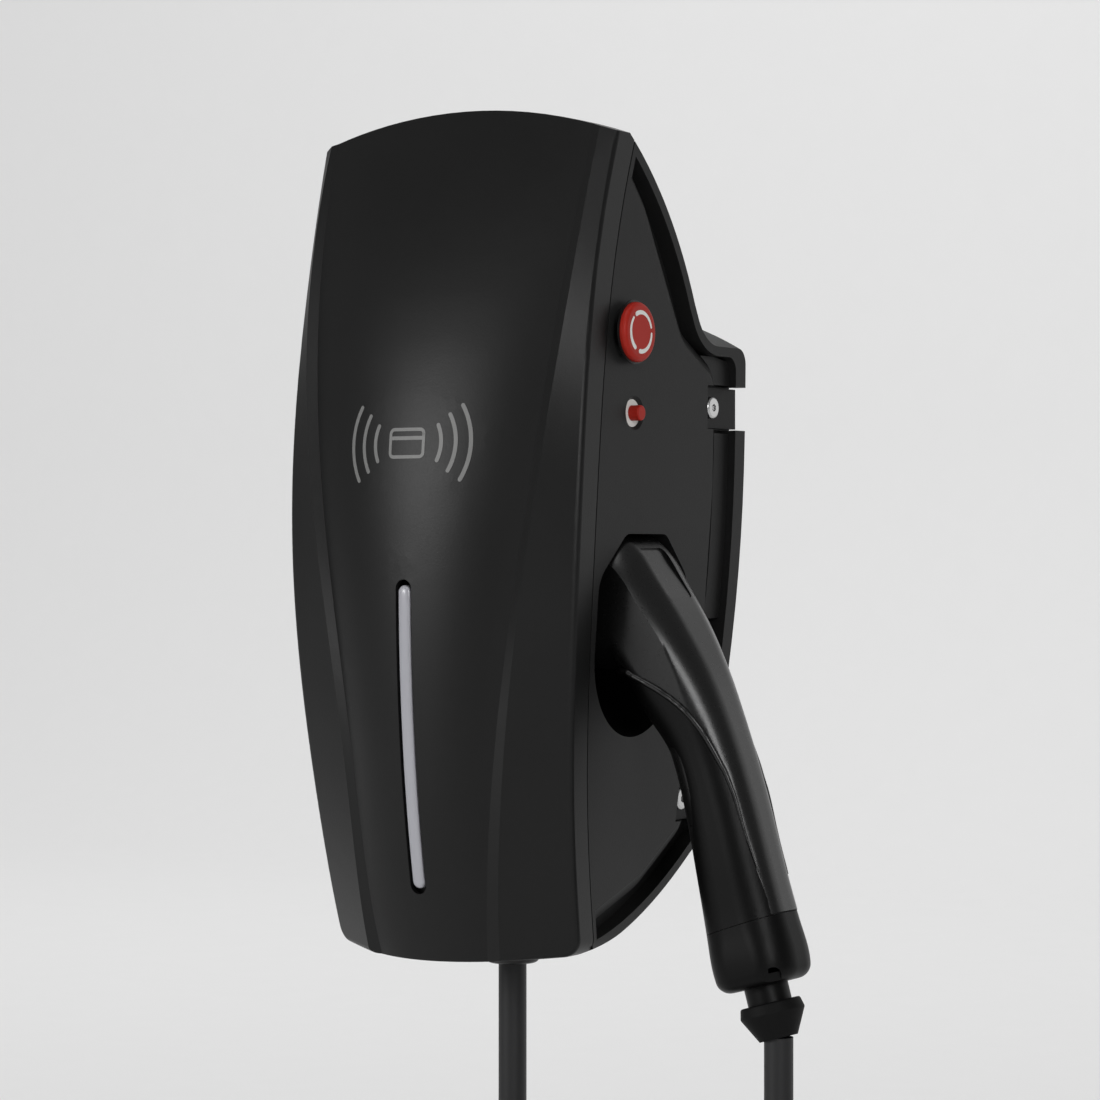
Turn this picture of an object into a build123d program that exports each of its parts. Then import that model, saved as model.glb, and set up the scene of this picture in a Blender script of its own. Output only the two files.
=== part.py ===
from build123d import *
import math
import os

os.makedirs("parts", exist_ok=True)

# Millimetres. The front faces -Y, the wall is the plane Y = 0, +Z is up, and Z = 0 is about half way up
# the case. The gun hangs in its holster on the right side, +X.

# Outer form of the case, in horizontal sections from above the crown to below the bottom edge:
# height, half width at the front edge, ridge x and y, inner line x and y, centre y, half width at the wall
sections = [
    (222, 86.8, 78.9, -117.2, 74.8, -116.8, -121.0, 88.0),
    (169, 84.8, 78.2, -137.0, 73.8, -136.0, -144.5, 87.0),
    (110, 84.3, 75.0, -151.3, 69.5, -149.8, -163.5, 85.8),
    (40, 84.6, 66.8, -160.6, 61.6, -158.6, -174.0, 84.6),
    (-50, 80.6, 52.9, -162.2, 48.0, -161.4, -175.2, 76.8),
    (-120, 75.0, 44.2, -159.3, 38.6, -159.6, -169.6, 65.8),
    (-206, 68.3, 37.0, -147.3, 29.0, -147.3, -154.5, 54.0),
]
wall = 3.0                   # moulded wall of the cover and the housing
crown_top = 212.5            # top of the case on the centre line
crown_radius = 265.0
bottom_low = -196.0          # bottom edge of the cover on the centre line
bottom_radius = 640.0
bottom_corner = 9.0
front_edge_radius = 700.0    # arc of the front outer edge, seen from the side
front_edge_depth = 153.5     # its deepest point in front of the wall
front_edge_height = -12.0    # and that point's height
edge_round = 3.4             # rounding of the front outer edge
cover_flange = 14.5          # width of the cover's side return, from the edge to the parting line
parting_gap = 0.8
seal_clearance = 0.1

# Rear of the housing, seen from the side: depth and height
slope_top = (-110.3, 197.8)
slope_middle = (-78.5, 168.0)
slope_foot = (-49.4, 120.8)
shoulder_corner = (-39.2, 101.0)
shoulder_blend = 22.0
wall_corner = 7.0
belly_front = (-116.0, -191.6)
belly_middle = (-69.0, -179.3)
belly_rear = (-17.0, -152.0)
belly_wall_z = -141.0
belly_corner = 12.0
side_at_slope = 85.0         # half width at which the slope's heights hold
pan_depth = 2.4              # recess in the back, for the wall bracket
pan_rim = 6.0

# Channel round each side panel
channel_depth = 9.0
rim_width = 5.0              # of the thin outer rim along the slopes
wall_rim_width = 9.5         # and along the wall
panel_line = [(-140, 210), (-96, 162.3), (-61, 101), (-30.5, 84), (-30.1, 30), (-30.4, -50),
              (-30.5, -134), (-70, -157.8), (-150, -182)]
panel_radii = [30, 18, 10, 100, 100, 14, 60]
band_width = 7.0             # sloped band between the panel and the channel
band_depth = 4.5

# Holster recess in the right side panel
recess_y = -91.8
recess_half = 41.5
recess_top = 7.7
recess_top_half = 18.3
recess_shoulder = -14.0
recess_arc_z = -48.5
recess_floor = 14.0
holster_wall = 3.0

# Emergency stop and reset button on the right side panel
stop_y = -111.0
stop_z = 103.4
stop_hole_d = 22.3
stop_head_d = 28.6
stop_head_height = 3.2
stop_head_round = 2.3
stop_flange_d = 30.4         # of the plunger's flange under the head
stop_flange_height = 0.8
stop_travel = 3.0
stop_collar_d = 25.0
stop_collar_height = 1.3     # of the collar's flange, let into the panel
stop_shaft_d = 12.0
stop_block = (28.0, 26.0, 38.0)
reset_y = -104.9
reset_z = 65.3
reset_hole_d = 13.4
reset_mouth_d = 16.0         # of the sloped mouth of its hole
reset_button_d = 7.4
reset_proud = 4.2
reset_travel = 2.5
reset_switch = (15.0, 14.0, 14.0)
moving_clearance = 0.3
seat_clearance = 0.2

# Wall bracket
bracket_thickness = 2.0
ear_heights = [70.5, -124.0]
ear_faces = [79.5, 61.5]     # outer face of the upper and the lower ears
ear_width = 20.0
ear_reach = 36.0
ear_screw_y = -26.5
notch_clearance = 0.8
ear_screw_d = 5.0
ear_screw_head_d = 11.0
ear_screw_length = 10.0
bracket_strap_x = 32.0
bracket_strap_width = 18.0
wall_hole_d = 6.5

# Charging cable, its gland under the case and the coil that hangs below
cable_d = 14.0
gland_y = -82.5
gland_face_z = -186.5
gland_inner_z = -175.0
gland_thread_d = 25.0
gland_hex = 30.0
gland_hex_height = 5.0
gland_nut_height = 12.5
gland_nut_d = 27.0
gun_cable_x = 156.6
coil_centre = (78.3, -88.0, -425.0)
coil_radius = 78.3
coil_section = (48.0, 57.0)  # of the wound bundle, across and along the coil's axis
coil_corner = 12.0
tie_width = 12.0
tie_thickness = 1.5
gland_seal_d = 20.0
gland_locknut_height = 5.0
gun_lead_top = -221.0

# Charging gun in the holster: for each section the outer and the inner point in the gun's middle plane,
# x and z, with the width and the corner radius
gun_y = -93.0
gun_sections = [
    ((78.0, 5.0), (78.0, -57.0), 57.0, 20.0),
    ((88.5, -1.5), (82.0, -61.0), 56.0, 19.5),
    ((97.5, -14.0), (85.5, -66.0), 54.0, 19.0),
    ((111.5, -35.0), (92.0, -79.0), 49.0, 17.5),
    ((125.0, -59.5), (100.5, -91.5), 44.0, 16.5),
    ((136.5, -87.0), (107.0, -105.5), 40.5, 15.5),
    ((146.5, -116.0), (111.5, -125.5), 39.5, 15.5),
    ((155.5, -147.0), (117.5, -157.0), 39.5, 16.0),
    ((164.0, -175.0), (123.3, -186.5), 40.0, 16.0),
    ((169.0, -199.0), (130.0, -210.0), 39.0, 15.5),
]
# where the outer shell meets the grip, in the gun's middle plane
gun_split = [(40, -57.6), (82, -56.8), (92.4, -59.7), (112.3, -70.6), (125.4, -83.8),
             (139.0, -108.6), (147.5, -134.3), (157.5, -162.0), (170.0, -200.0)]
gun_cap_joint = ((122.8, -182.0), (163.0, -168.5))
gun_joint_gap = 0.25
gun_end_round = 7.0
cap_groove = (8.0, 30.0)     # width and length of the two grooves in the end cap's outer corners
cap_groove_reach = 13.5      # of their floors from the gun's middle, along X and Y
cap_groove_z = -208.0
label_size = (21.4, 29.0)
label_top = (87.3, -1.5)
label_angle = 37.4           # of the label field from the vertical
label_depth = 0.5
nose_z = -26.0
nose_d = 54.0
nose_tip = 19.0
nose_back = 47.0
nose_flat = 20.5             # height of the nose's flat top above its axis
nose_clearance = 0.5
neck_d = 21.0
neck_start = (150.2, -205.0)
boot_top = (152.0, -212.3)
boot_axis = (0.276, -0.961)
boot_profile = [(0, 14.3), (5, 15.5), (17, 9.2)]

# Inner parts
plate_y = -10.4              # rear face of the chassis plate
plate_thickness = 1.6
plate_half = 46.0
plate_top = 88.0
plate_low = -125.0
plate_screw_x = 38.0
plate_screw_z = (80.0, -116.0)
board_thickness = 1.6
control_board_y = -142.0
control_board = (100.0, 150.0)
control_board_z = -14.0
control_post_x = 44.0
control_post_z = (52.0, -80.0)
reader_board_y = -162.5
reader_board = (56.0, 46.0)
reader_z = 51.0
light_top = -14.4
light_low = -163.3
light_width = 8.0
light_depth = 5.0
light_recess = 0.4
light_slot_gap = 0.5
cover_screw_places = [(62.0, 150.0), (47.0, -150.0)]
cover_screw_d = 4.0
cover_screw_length = 20.0
cover_screw_seat = 6.0       # plastic under the head
screw_tube_d = 12.0
cover_screw_head_d = 7.5
cover_boss_d = 9.0
grommet_spot = (11.0, 22.0)
grommet_d = 18.0
seal_inset = 0.9
board_screw_d = 2.6
board_screw_length = 8.0
gland_pad_d = 36.0
socket_d = 65.0
socket_front = 40.0          # distance of the holster socket's mouth from the centre line
socket_screw_d = 2.5
socket_screw_ring = 30.0
socket_screw_angles = [math.radians(angle) for angle in (90, 210, 330)]
socket_screw_spots = [(gun_y + socket_screw_ring * math.cos(angle),
                       nose_z + socket_screw_ring * math.sin(angle)) for angle in socket_screw_angles]
gun_wall = 2.5
contact_bore_d = 8.4
contact_spots = ([(gun_y, nose_z)]
                 + [(gun_y + 8.3 * side, nose_z + z) for side in (-1, 1) for z in (-14.2,)]
                 + [(gun_y + 16.2 * side, nose_z - 1) for side in (-1, 1)]
                 + [(gun_y + 9.2 * side, nose_z + 13) for side in (-1, 1)])
stop_spigot_d = 8.0
stop_spigot_length = 1.8
shaft_clearance = 0.06
stop_barrel_length = 16.0
stop_nut_width = 28.0
stop_nut_height = 5.0
reset_sink = 1.3             # of the ring below the panel
reset_ring_length = 8.0
side_lean = 0.3              # by which the side departs from upright under a collar or a nut
wall_hole_spots = [(side * bracket_strap_x, z) for side in (-1, 1) for z in (-60, 60)]
contactor_size = (46.0, 52.0, 62.0)
contactor_spot = (-22.0, 45.0)
supply_size = (40.0, 28.0, 88.0)
supply_spot = (-24.0, -40.0)
sensor_spot = (24.0, 60.0)
sensor_d = 32.0
sensor_bore = 17.0
terminal_size = (60.0, 24.0, 18.0)
terminal_poles = 5
terminal_spot = (-2.0, -105.0)
earth_size = (10.0, 8.0, 56.0)
earth_spot = (28.0, -40.0)
# on the control board: x, z, width, depth and height of each component
board_part_boxes = [(-30, -10, 20, 12, 16), (-30, 20, 14, 9, 20), (-8, 24, 12, 2, 12), (-8, -4, 16, 2.4, 16),
                    (-34, -62, 18, 10, 10), (-12, -62, 14, 10, 10), (-30, -38, 10, 8, 10),
                    (-10, -34, 8, 3, 8)]
gun_end_wall = 5.0
base_align = (Align.CENTER, Align.CENTER, Align.MIN)


def front_edge(z, back=0.0):
    """Depth of the front outer edge at a height, or of the parallel arc that lies back from it."""
    radius = front_edge_radius - back
    return front_edge_radius - front_edge_depth - math.sqrt(radius**2 - (z - front_edge_height) ** 2)


def side_x(y, z):
    """Half width of the case at a depth and height."""
    for upper, lower in zip(sections, sections[1:]):
        if lower[0] <= z <= upper[0]:
            share = (z - lower[0]) / (upper[0] - lower[0])
            front = lower[1] + (upper[1] - lower[1]) * share
            rear = lower[7] + (upper[7] - lower[7]) * share
            return rear + (front - rear) * (y - 8) / (front_edge(z) - 8)


def case_form(skin, side):
    """The case as one closed form, drawn in by skin at the front and by side at the sides."""
    with BuildPart() as form:
        for z, half, ridge_x, ridge_y, inner_x, inner_y, centre_y, rear_half in sections:
            edge = (half - side, front_edge(z) + skin)
            ridge = (ridge_x - 0.4 * skin, ridge_y + skin)
            inner = (inner_x - 0.3 * skin, inner_y + skin)
            rear = (rear_half - side, 8)
            with BuildSketch(Plane.XY.offset(z)):
                with BuildLine():
                    ThreePointArc((-inner[0], inner[1]), (0, centre_y + skin), inner)
                    Polyline(inner, ridge, edge, rear, (-rear[0], rear[1]), (-edge[0], edge[1]),
                             (-ridge[0], ridge[1]), (-inner[0], inner[1]))
                make_face()
        loft()
    return form.part


def front_outline(skin):
    """Crown and bottom edge, seen from the front, as a block right through the case."""
    reach = 100.0
    crown_drop = crown_radius - math.sqrt(crown_radius**2 - reach**2)
    bottom_rise = bottom_radius - math.sqrt(bottom_radius**2 - reach**2)
    top, low = crown_top - skin, bottom_low + skin
    with BuildPart() as block:
        with BuildSketch(Plane.XZ):
            with BuildLine():
                ThreePointArc((-reach, top - crown_drop), (0, top), (reach, top - crown_drop))
                Line((reach, top - crown_drop), (reach, low + bottom_rise))
                ThreePointArc((reach, low + bottom_rise), (0, low), (-reach, low + bottom_rise))
                Line((-reach, low + bottom_rise), (-reach, top - crown_drop))
            make_face()
        extrude(amount=200, both=True)
    return block.part


def behind_arc(back):
    """Everything behind the arc that lies back from the front edge."""
    with BuildPart() as block:
        with BuildSketch(Plane.YZ):
            with Locations((front_edge_radius - front_edge_depth, front_edge_height)):
                Circle(front_edge_radius - back)
        extrude(amount=120, both=True)
    return block.part


def round_corner(sketch, point, radius):
    fillet(sketch.vertices().sort_by_distance((*point, 0))[0], radius)


def crown_distance(z):
    """Distance from the crown's axis to the slope's side edge at a height."""
    return math.hypot(side_at_slope, z - crown_top + crown_radius)


def under_slope(skin, back_y=0.0):
    """What lies in front of the crowned rear slope, under the shoulder and in front of the wall."""
    slope = [(y - 0.7 * skin, crown_distance(z) - skin) for y, z in (slope_top, slope_middle, slope_foot)]
    corner = (shoulder_corner[0] - 0.7 * skin, crown_distance(shoulder_corner[1]) - skin)
    above = (slope[0][0] - 30, slope[0][1] + 30)
    axis_plane = Plane(origin=(0, 0, crown_top - crown_radius), x_dir=(0, 1, 0), z_dir=(1, 0, 0))
    with BuildPart() as upper:
        with BuildSketch(axis_plane) as side:
            with BuildLine():
                ThreePointArc(*slope)
                Polyline(slope[-1], corner, (back_y, corner[1]), (back_y, 0), (-260, 0),
                         (-260, above[1]), above, slope[0])
            make_face()
            round_corner(side, corner, shoulder_blend)
            round_corner(side, (back_y, corner[1]), wall_corner)
        revolve(axis=Axis((0, 0, crown_top - crown_radius), (0, 1, 0)))
    return upper.part


def over_belly(skin, back_y=0.0):
    """What lies above the belly and in front of the wall."""
    belly = [(y - 0.4 * skin, z + skin) for y, z in (belly_front, belly_middle, belly_rear)]
    with BuildPart() as lower:
        with BuildSketch(Plane.YZ) as side:
            with BuildLine():
                ThreePointArc(*belly)
                Polyline(belly[-1], (back_y, belly_wall_z + skin), (back_y, 300), (-260, 300),
                         (-260, belly[0][1] - 20), (belly[0][0] - 60, belly[0][1] - 12), belly[0])
            make_face()
            round_corner(side, (back_y, belly_wall_z + skin), belly_corner)
        extrude(amount=120, both=True)
    return lower.part


def panel_outline(x):
    """Rear edge of the side panel as the band's slope cuts it at a distance x from the centre line."""
    steps = [(b[0] - a[0], b[1] - a[1]) for a, b in zip(panel_line, panel_line[1:])]
    normals = [(-dz / math.hypot(dy, dz), dy / math.hypot(dy, dz)) for dy, dz in steps]
    corners = []
    for (y, z), before, after in zip(panel_line, normals[:1] + normals, normals + normals[-1:]):
        bend = 1 + before[0] * after[0] + before[1] * after[1]
        shift = band_width / band_depth * (side_x(y, z) - x) / bend
        corners.append((y + shift * (before[0] + after[0]), z + shift * (before[1] + after[1])))
    return corners


def panel_block(near, far):
    """The panel with its sloped band, as a block between two distances from the centre line."""
    with BuildPart() as block:
        for x in (near, far):
            with BuildSketch(Plane.YZ.offset(x)):
                with BuildLine():
                    rear = FilletPolyline(*panel_outline(x), radius=panel_radii)
                    Polyline(rear @ 1, (-300, -300), (-300, 300), rear @ 0)
                make_face()
        loft(ruled=True)
    return block.part


def panel_face(grow):
    """Outline of the side panel, seen from the side, grown by a margin."""
    with BuildSketch(Plane.YZ) as panel:
        with BuildLine():
            rear = FilletPolyline(*panel_line, radius=panel_radii)
            Polyline(rear @ 1, (-230, -230), (-230, 230), rear @ 0)
        make_face()
        if grow:
            offset(amount=grow)
    return panel.sketch


def channel_region():
    """Where the channel runs, seen from the side: inside the rim and outside the panel's band."""
    with BuildSketch(Plane.YZ) as region:
        with BuildLine():
            ThreePointArc(slope_top, slope_middle, slope_foot)
            Polyline(slope_foot, shoulder_corner, (0, shoulder_corner[1]), (0, belly_wall_z), belly_rear)
            ThreePointArc(belly_rear, belly_middle, belly_front)
            Polyline(belly_front, (-150, belly_front[1] - 7), (-150, slope_top[1] + 36), slope_top)
        make_face()
        round_corner(region, shoulder_corner, shoulder_blend)
        round_corner(region, (0, belly_wall_z), belly_corner)
        offset(amount=-rim_width)
        with Locations((50 - wall_rim_width, 0)):
            Rectangle(100, 600, mode=Mode.SUBTRACT)
        round_corner(region, (-wall_rim_width, shoulder_corner[1] - rim_width), wall_corner)
        with Locations((front_edge_radius - front_edge_depth, front_edge_height)):
            Circle(front_edge_radius - cover_flange - parting_gap - 3, mode=Mode.INTERSECT)
    return region.sketch


def recess_block(grow, floor):
    """The holster recess as a block that runs outwards from its floor."""
    left, right = recess_y - recess_half, recess_y + recess_half
    top_left, top_right = recess_y - recess_top_half, recess_y + recess_top_half
    with BuildPart() as block:
        with BuildSketch(Plane.YZ.offset(floor)) as outline:
            with BuildLine():
                Polyline((left, recess_arc_z), (left, recess_shoulder), (top_left, recess_top),
                         (top_right, recess_top), (right, recess_shoulder), (right, recess_arc_z))
                ThreePointArc((right, recess_arc_z), (recess_y, recess_arc_z - recess_half),
                              (left, recess_arc_z))
            make_face()
            for corner in ((left, recess_shoulder), (right, recess_shoulder)):
                round_corner(outline, corner, 16)
            for corner in ((top_left, recess_top), (top_right, recess_top)):
                round_corner(outline, corner, 8)
            if grow:
                offset(amount=grow)
        extrude(amount=120 - floor)
    return block.part


def cavity_form(side):
    """Inside of the case, drawn in by the wall at the front and by side at the sides."""
    with BuildPart() as inside:
        add(case_form(wall, side))
        add(front_outline(wall), mode=Mode.INTERSECT)
        add(under_slope(wall, -pan_depth - wall), mode=Mode.INTERSECT)
        add(over_belly(wall, -pan_depth - wall), mode=Mode.INTERSECT)
    return inside.part


def rods(spots, diameter, back_y, length=80.0):
    """Round rods at the given x and z, from a depth forwards."""
    with BuildPart() as group:
        with BuildSketch(Plane.XZ.offset(-back_y)):
            with Locations(*spots):
                Circle(diameter / 2)
        extrude(amount=length)
    return group.part


def side_rod(y, z, diameter, start, end):
    """A round rod along X between two distances from the centre line."""
    with BuildPart() as rod:
        with BuildSketch(Plane.YZ.offset(start)):
            with Locations((y, z)):
                Circle(diameter / 2)
        extrude(amount=end - start)
    return rod.part


def round_mouth(y, z, floor, floor_d, surface, surface_d):
    """A cone along X that opens a hole from one diameter at its floor to another at the surface."""
    past = (surface_d - floor_d) / (surface - floor)
    with BuildPart() as mouth:
        for x, diameter in ((floor, floor_d), (surface + 1, surface_d + past)):
            with BuildSketch(Plane.YZ.offset(x)):
                with Locations((y, z)):
                    Circle(diameter / 2)
        loft()
    return mouth.part


def corners(x, heights):
    return [(side * x, z) for z in heights for side in (-1, 1)]


def parting_y(z):
    return front_edge(z, cover_flange + parting_gap)


def light_bar_form(grow, front_skin, back_skin):
    """The light bar's slot shape between two depths under the cover's surface."""
    with BuildPart() as bar:
        with BuildSketch(Plane.XZ.offset(130)):
            with Locations((0, (light_top + light_low) / 2)):
                SlotOverall(light_top - light_low + 2 * grow, light_width + 2 * grow, rotation=90)
        extrude(amount=60)
        add(case_form(front_skin, front_skin), mode=Mode.INTERSECT)
        add(case_form(back_skin, back_skin), mode=Mode.SUBTRACT)
    return bar.part


# Case, as one rounded form before it is parted

with BuildPart() as case:
    add(case_form(0, 0))
    add(front_outline(0), mode=Mode.INTERSECT)
    for side in (-1, 1):
        fillet(case.edges().sort_by_distance((side * 69, -60, -192))[0], bottom_corner)
    for side in (-1, 1):
        fillet(case.edges().sort_by_distance((side * 82, -153, 0))[0], edge_round)
    add(under_slope(0), mode=Mode.INTERSECT)
    add(over_belly(0), mode=Mode.INTERSECT)

wide_space = cavity_form(wall)

# Front cover, with the posts that carry its boards and the bosses that its screws bite in

cover_boss_spots = [(side * x, z) for x, z in cover_screw_places for side in (-1, 1)]
reader_post_spots = corners(reader_board[0] / 2 - 5, (reader_z - 17, reader_z + 17))
control_post_spots = corners(control_post_x, control_post_z)
control_board_face = control_board_y - board_thickness
reader_board_face = reader_board_y - board_thickness
led_post_z = (light_top + 9.0, light_low - 9.0)
led_front_y = (-169.6, -156.8)

with BuildPart() as cover_posts:
    add(rods(control_post_spots, 8, control_board_face))
    add(rods(reader_post_spots, 6, reader_board_face))
    for z, y in zip(led_post_z, led_front_y):
        add(rods([(0, z)], 6, y - seat_clearance))
    for spot in cover_boss_spots:
        add(rods([spot], cover_boss_d, parting_y(spot[1]) + 2))
    add(case.part, mode=Mode.INTERSECT)
    add(behind_arc(cover_flange), mode=Mode.SUBTRACT)

with BuildPart() as cover_cuts:
    add(light_bar_form(light_slot_gap, -2, wall + 2))
    add(rods(control_post_spots, board_screw_d, control_board_face, board_screw_length))
    add(rods(reader_post_spots, board_screw_d, reader_board_face, 3))
    for spot in cover_boss_spots:
        add(rods([spot], cover_screw_d, parting_y(spot[1]), cover_screw_length - cover_screw_seat + 1))

with BuildPart() as front_cover:
    add(case.part)
    add([behind_arc(cover_flange), wide_space], mode=Mode.SUBTRACT)
    add(cover_posts.part)
    add(cover_cuts.part, mode=Mode.SUBTRACT)
front_cover.part.label = "front_cover"

with BuildPart() as cover_seal:
    add(case_form(seal_inset, seal_inset))
    add(front_outline(seal_inset), mode=Mode.INTERSECT)
    add(under_slope(seal_inset), mode=Mode.INTERSECT)
    add(over_belly(seal_inset), mode=Mode.INTERSECT)
    add(behind_arc(cover_flange + seal_clearance), mode=Mode.INTERSECT)
    add([behind_arc(cover_flange + parting_gap - seal_clearance), wide_space], mode=Mode.SUBTRACT)
cover_seal.part.label = "cover_seal"

with BuildPart() as light_pipe:
    add(light_bar_form(0, light_recess, light_depth))
    add(light_bar_form(2.5, wall + 0.15, light_depth))
light_pipe.part.label = "light_pipe"

# Rear housing: shell, side channels, holster recess, ear notches and screw tunnels

stop_x = side_x(stop_y, stop_z)
reset_x = side_x(reset_y, reset_z)
stop_barrel_x = stop_x - stop_barrel_length
stop_collar_x = stop_x - side_lean - stop_collar_height
reset_switch_x = reset_x - reset_sink - reset_ring_length
notch_height = ear_width + 2 * notch_clearance
ear_seats = [face - bracket_thickness - seat_clearance for face in ear_faces]
plate_post_spots = corners(plate_screw_x, plate_screw_z)
housing_back = -pan_depth - wall

with BuildPart() as side_panel:
    add(panel_block(48, 92))
    extrude(panel_face(band_width), amount=120, mode=Mode.INTERSECT)

with BuildPart() as channel:
    extrude(channel_region(), amount=120)
    add([case_form(0, channel_depth), side_panel.part], mode=Mode.SUBTRACT)
    mirror(about=Plane.YZ)

with BuildPart() as housing_space:
    extrude(panel_face(0), amount=120, both=True)
    add(wide_space, mode=Mode.INTERSECT)
    add(cavity_form(channel_depth + wall))

with BuildPart() as inner_blocks:
    add(recess_block(holster_wall, recess_floor - holster_wall))
    add(rods(cover_boss_spots, screw_tube_d, -4, 140))
    add(rods(plate_post_spots, 9, housing_back + 1, housing_back + 1 - plate_y))

with BuildPart() as ear_bosses:
    for z, seat in zip(ear_heights, ear_seats):
        with Locations(*[(side * (seat - 5), -(ear_reach + 6 + pan_depth) / 2, z) for side in (-1, 1)]):
            Box(10, ear_reach + 6 - pan_depth, notch_height)
    with Locations((0, gland_y, gland_face_z)):
        Cylinder(gland_pad_d / 2, gland_inner_z - gland_face_z, align=base_align)

with BuildPart() as pan:
    add(case_form(0, pan_rim))
    add(under_slope(pan_rim, 2), mode=Mode.INTERSECT)
    add(over_belly(pan_rim, 2), mode=Mode.INTERSECT)
    with Locations((0, 50 - pan_depth, 0)):
        Box(300, 100, 600, mode=Mode.INTERSECT)

with BuildPart() as housing_cuts:
    add(recess_block(0, recess_floor))
    for z, seat in zip(ear_heights, ear_seats):
        for side in (-1, 1):
            with Locations((side * (seat + 25), -(ear_reach + notch_clearance) / 2 + 1, z)):
                Box(50, ear_reach + notch_clearance + 2, notch_height)
        with Locations((0, 0, z)):
            Box(2 * seat, 2 * pan_depth, notch_height)
        for side in (-1, 1):
            add(side_rod(ear_screw_y, z, ear_screw_d, side * (seat - ear_screw_length - 1), side * 100))
    for x, z in cover_boss_spots:
        add(rods([(x, z)], cover_screw_head_d + 1, 20, 20 - parting_y(z) - cover_screw_seat))
        add(rods([(x, z)], cover_screw_d + 0.4, 20, 200))
    add(rods(plate_post_spots, board_screw_d, plate_y + 4.5, 6))
    add(side_rod(stop_y, stop_z, stop_hole_d, 60, 120))
    add(side_rod(stop_y, stop_z, stop_collar_d + 2 * seat_clearance, stop_collar_x, 120))
    add(side_rod(reset_y, reset_z, reset_hole_d, 60, 120))
    add(round_mouth(reset_y, reset_z, reset_x - reset_sink, reset_hole_d, reset_x, reset_mouth_d))
    add(rods([grommet_spot], grommet_d, 20, 30))
    with Locations((0, gland_y, gland_face_z - 5)):
        Cylinder(gland_thread_d / 2 + seat_clearance, 30, align=base_align)
    with Locations((0, gland_y, gland_face_z)):
        Cylinder(gland_pad_d / 2, 20, align=(Align.CENTER, Align.CENTER, Align.MAX))
    for y, z in socket_screw_spots:
        add(side_rod(y, z, socket_screw_d + 2 * seat_clearance, recess_floor - holster_wall - 1,
                     recess_floor + 1))

with BuildPart() as rear_housing:
    add(case.part)
    add([channel.part, housing_space.part], mode=Mode.SUBTRACT)
    add([inner_blocks.part & case.part, ear_bosses.part])
    add([housing_cuts.part, pan.part], mode=Mode.SUBTRACT)
    add(behind_arc(cover_flange + parting_gap), mode=Mode.INTERSECT)
rear_housing.part.label = "rear_housing"


# Cable gland: body through the pad under the case, locknut inside, seal and pressure nut outside

flange_low_z = gland_face_z - gland_hex_height
gland_thread_top = gland_inner_z + gland_locknut_height + 1.5
seal_half = 6.0

with BuildPart() as gland_seal:
    with Locations((0, gland_y, flange_low_z)):
        Cylinder(gland_seal_d / 2, 2 * seal_half)
        Cylinder(cable_d / 2, 2 * seal_half, mode=Mode.SUBTRACT)
gland_seal.part.label = "gland_seal"

with BuildPart() as cable_gland_body:
    with BuildSketch(Plane.XY.offset(flange_low_z)):
        with Locations((0, gland_y)):
            RegularPolygon(gland_hex / 2, 6, major_radius=False)
    extrude(amount=gland_hex_height)
    with Locations((0, gland_y, flange_low_z)):
        Cylinder(gland_thread_d / 2, gland_thread_top - flange_low_z, align=base_align)
        Cylinder(cable_d / 2 + moving_clearance, 60, mode=Mode.SUBTRACT)
        Cylinder(gland_seal_d / 2 + seal_clearance, 2 * seal_half, mode=Mode.SUBTRACT)
cable_gland_body.part.label = "cable_gland_body"

with BuildPart() as cable_gland_nut:
    with Locations((0, gland_y, flange_low_z)):
        Cylinder(gland_nut_d / 2, gland_nut_height, align=(Align.CENTER, Align.CENTER, Align.MAX))
        Cylinder(gland_seal_d / 2 + seal_clearance, 2 * seal_half, mode=Mode.SUBTRACT)
        Cylinder(cable_d / 2 + moving_clearance, 60, mode=Mode.SUBTRACT)
    low_edges = cable_gland_nut.edges().filter_by(GeomType.CIRCLE).sort_by(Axis.Z)[:2]
    fillet(low_edges.sort_by(SortBy.RADIUS)[-1], 3)
    with BuildSketch(Plane.XY.offset(flange_low_z)):
        with Locations((0, gland_y)):
            with PolarLocations(gland_nut_d / 2 + 0.4, 12):
                Circle(1.1)
    extrude(amount=-gland_nut_height + 4, mode=Mode.SUBTRACT)
cable_gland_nut.part.label = "cable_gland_nut"

with BuildPart() as gland_locknut:
    with BuildSketch(Plane.XY.offset(gland_inner_z)):
        with Locations((0, gland_y)):
            RegularPolygon(gland_hex / 2, 6, major_radius=False)
            Circle(gland_thread_d / 2 + seal_clearance, mode=Mode.SUBTRACT)
    extrude(amount=gland_locknut_height)
gland_locknut.part.label = "gland_locknut"

# Charging cable: coil below the case, the two straps round it, and the leads up to the gland and the gun

coil_axis = Axis(coil_centre, (0, 1, 0))


def coil_ring(grow, angle=360.0, start=0.0):
    """A ring on the coil's path with the bundle's section, grown by a margin."""
    with BuildPart() as ring:
        with BuildSketch(Plane(coil_centre)):
            with Locations((coil_radius, 0)):
                RectangleRounded(coil_section[0] + 2 * grow, coil_section[1] + 2 * grow, coil_corner + grow)
        revolve(axis=coil_axis, revolution_arc=angle)
    return ring.part.rotate(coil_axis, start)


coil_form = coil_ring(0)
with BuildPart() as cable_coil:
    add(coil_form)
cable_coil.part.label = "cable_coil"

tie_arc = math.degrees(tie_width / coil_radius)
with BuildPart() as coil_ties:
    for middle in (90, 270):
        add(coil_ring(tie_thickness + seal_clearance, tie_arc, middle - tie_arc / 2))
    add(coil_ring(seal_clearance), mode=Mode.SUBTRACT)
coil_ties.part.label = "coil_ties"

with BuildPart() as box_lead:
    with Locations((0, gland_y, coil_centre[2])):
        Cylinder(cable_d / 2, gland_inner_z + 12 - coil_centre[2], align=base_align)
    add(coil_form, mode=Mode.SUBTRACT)
box_lead.part.label = "box_lead"

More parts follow.
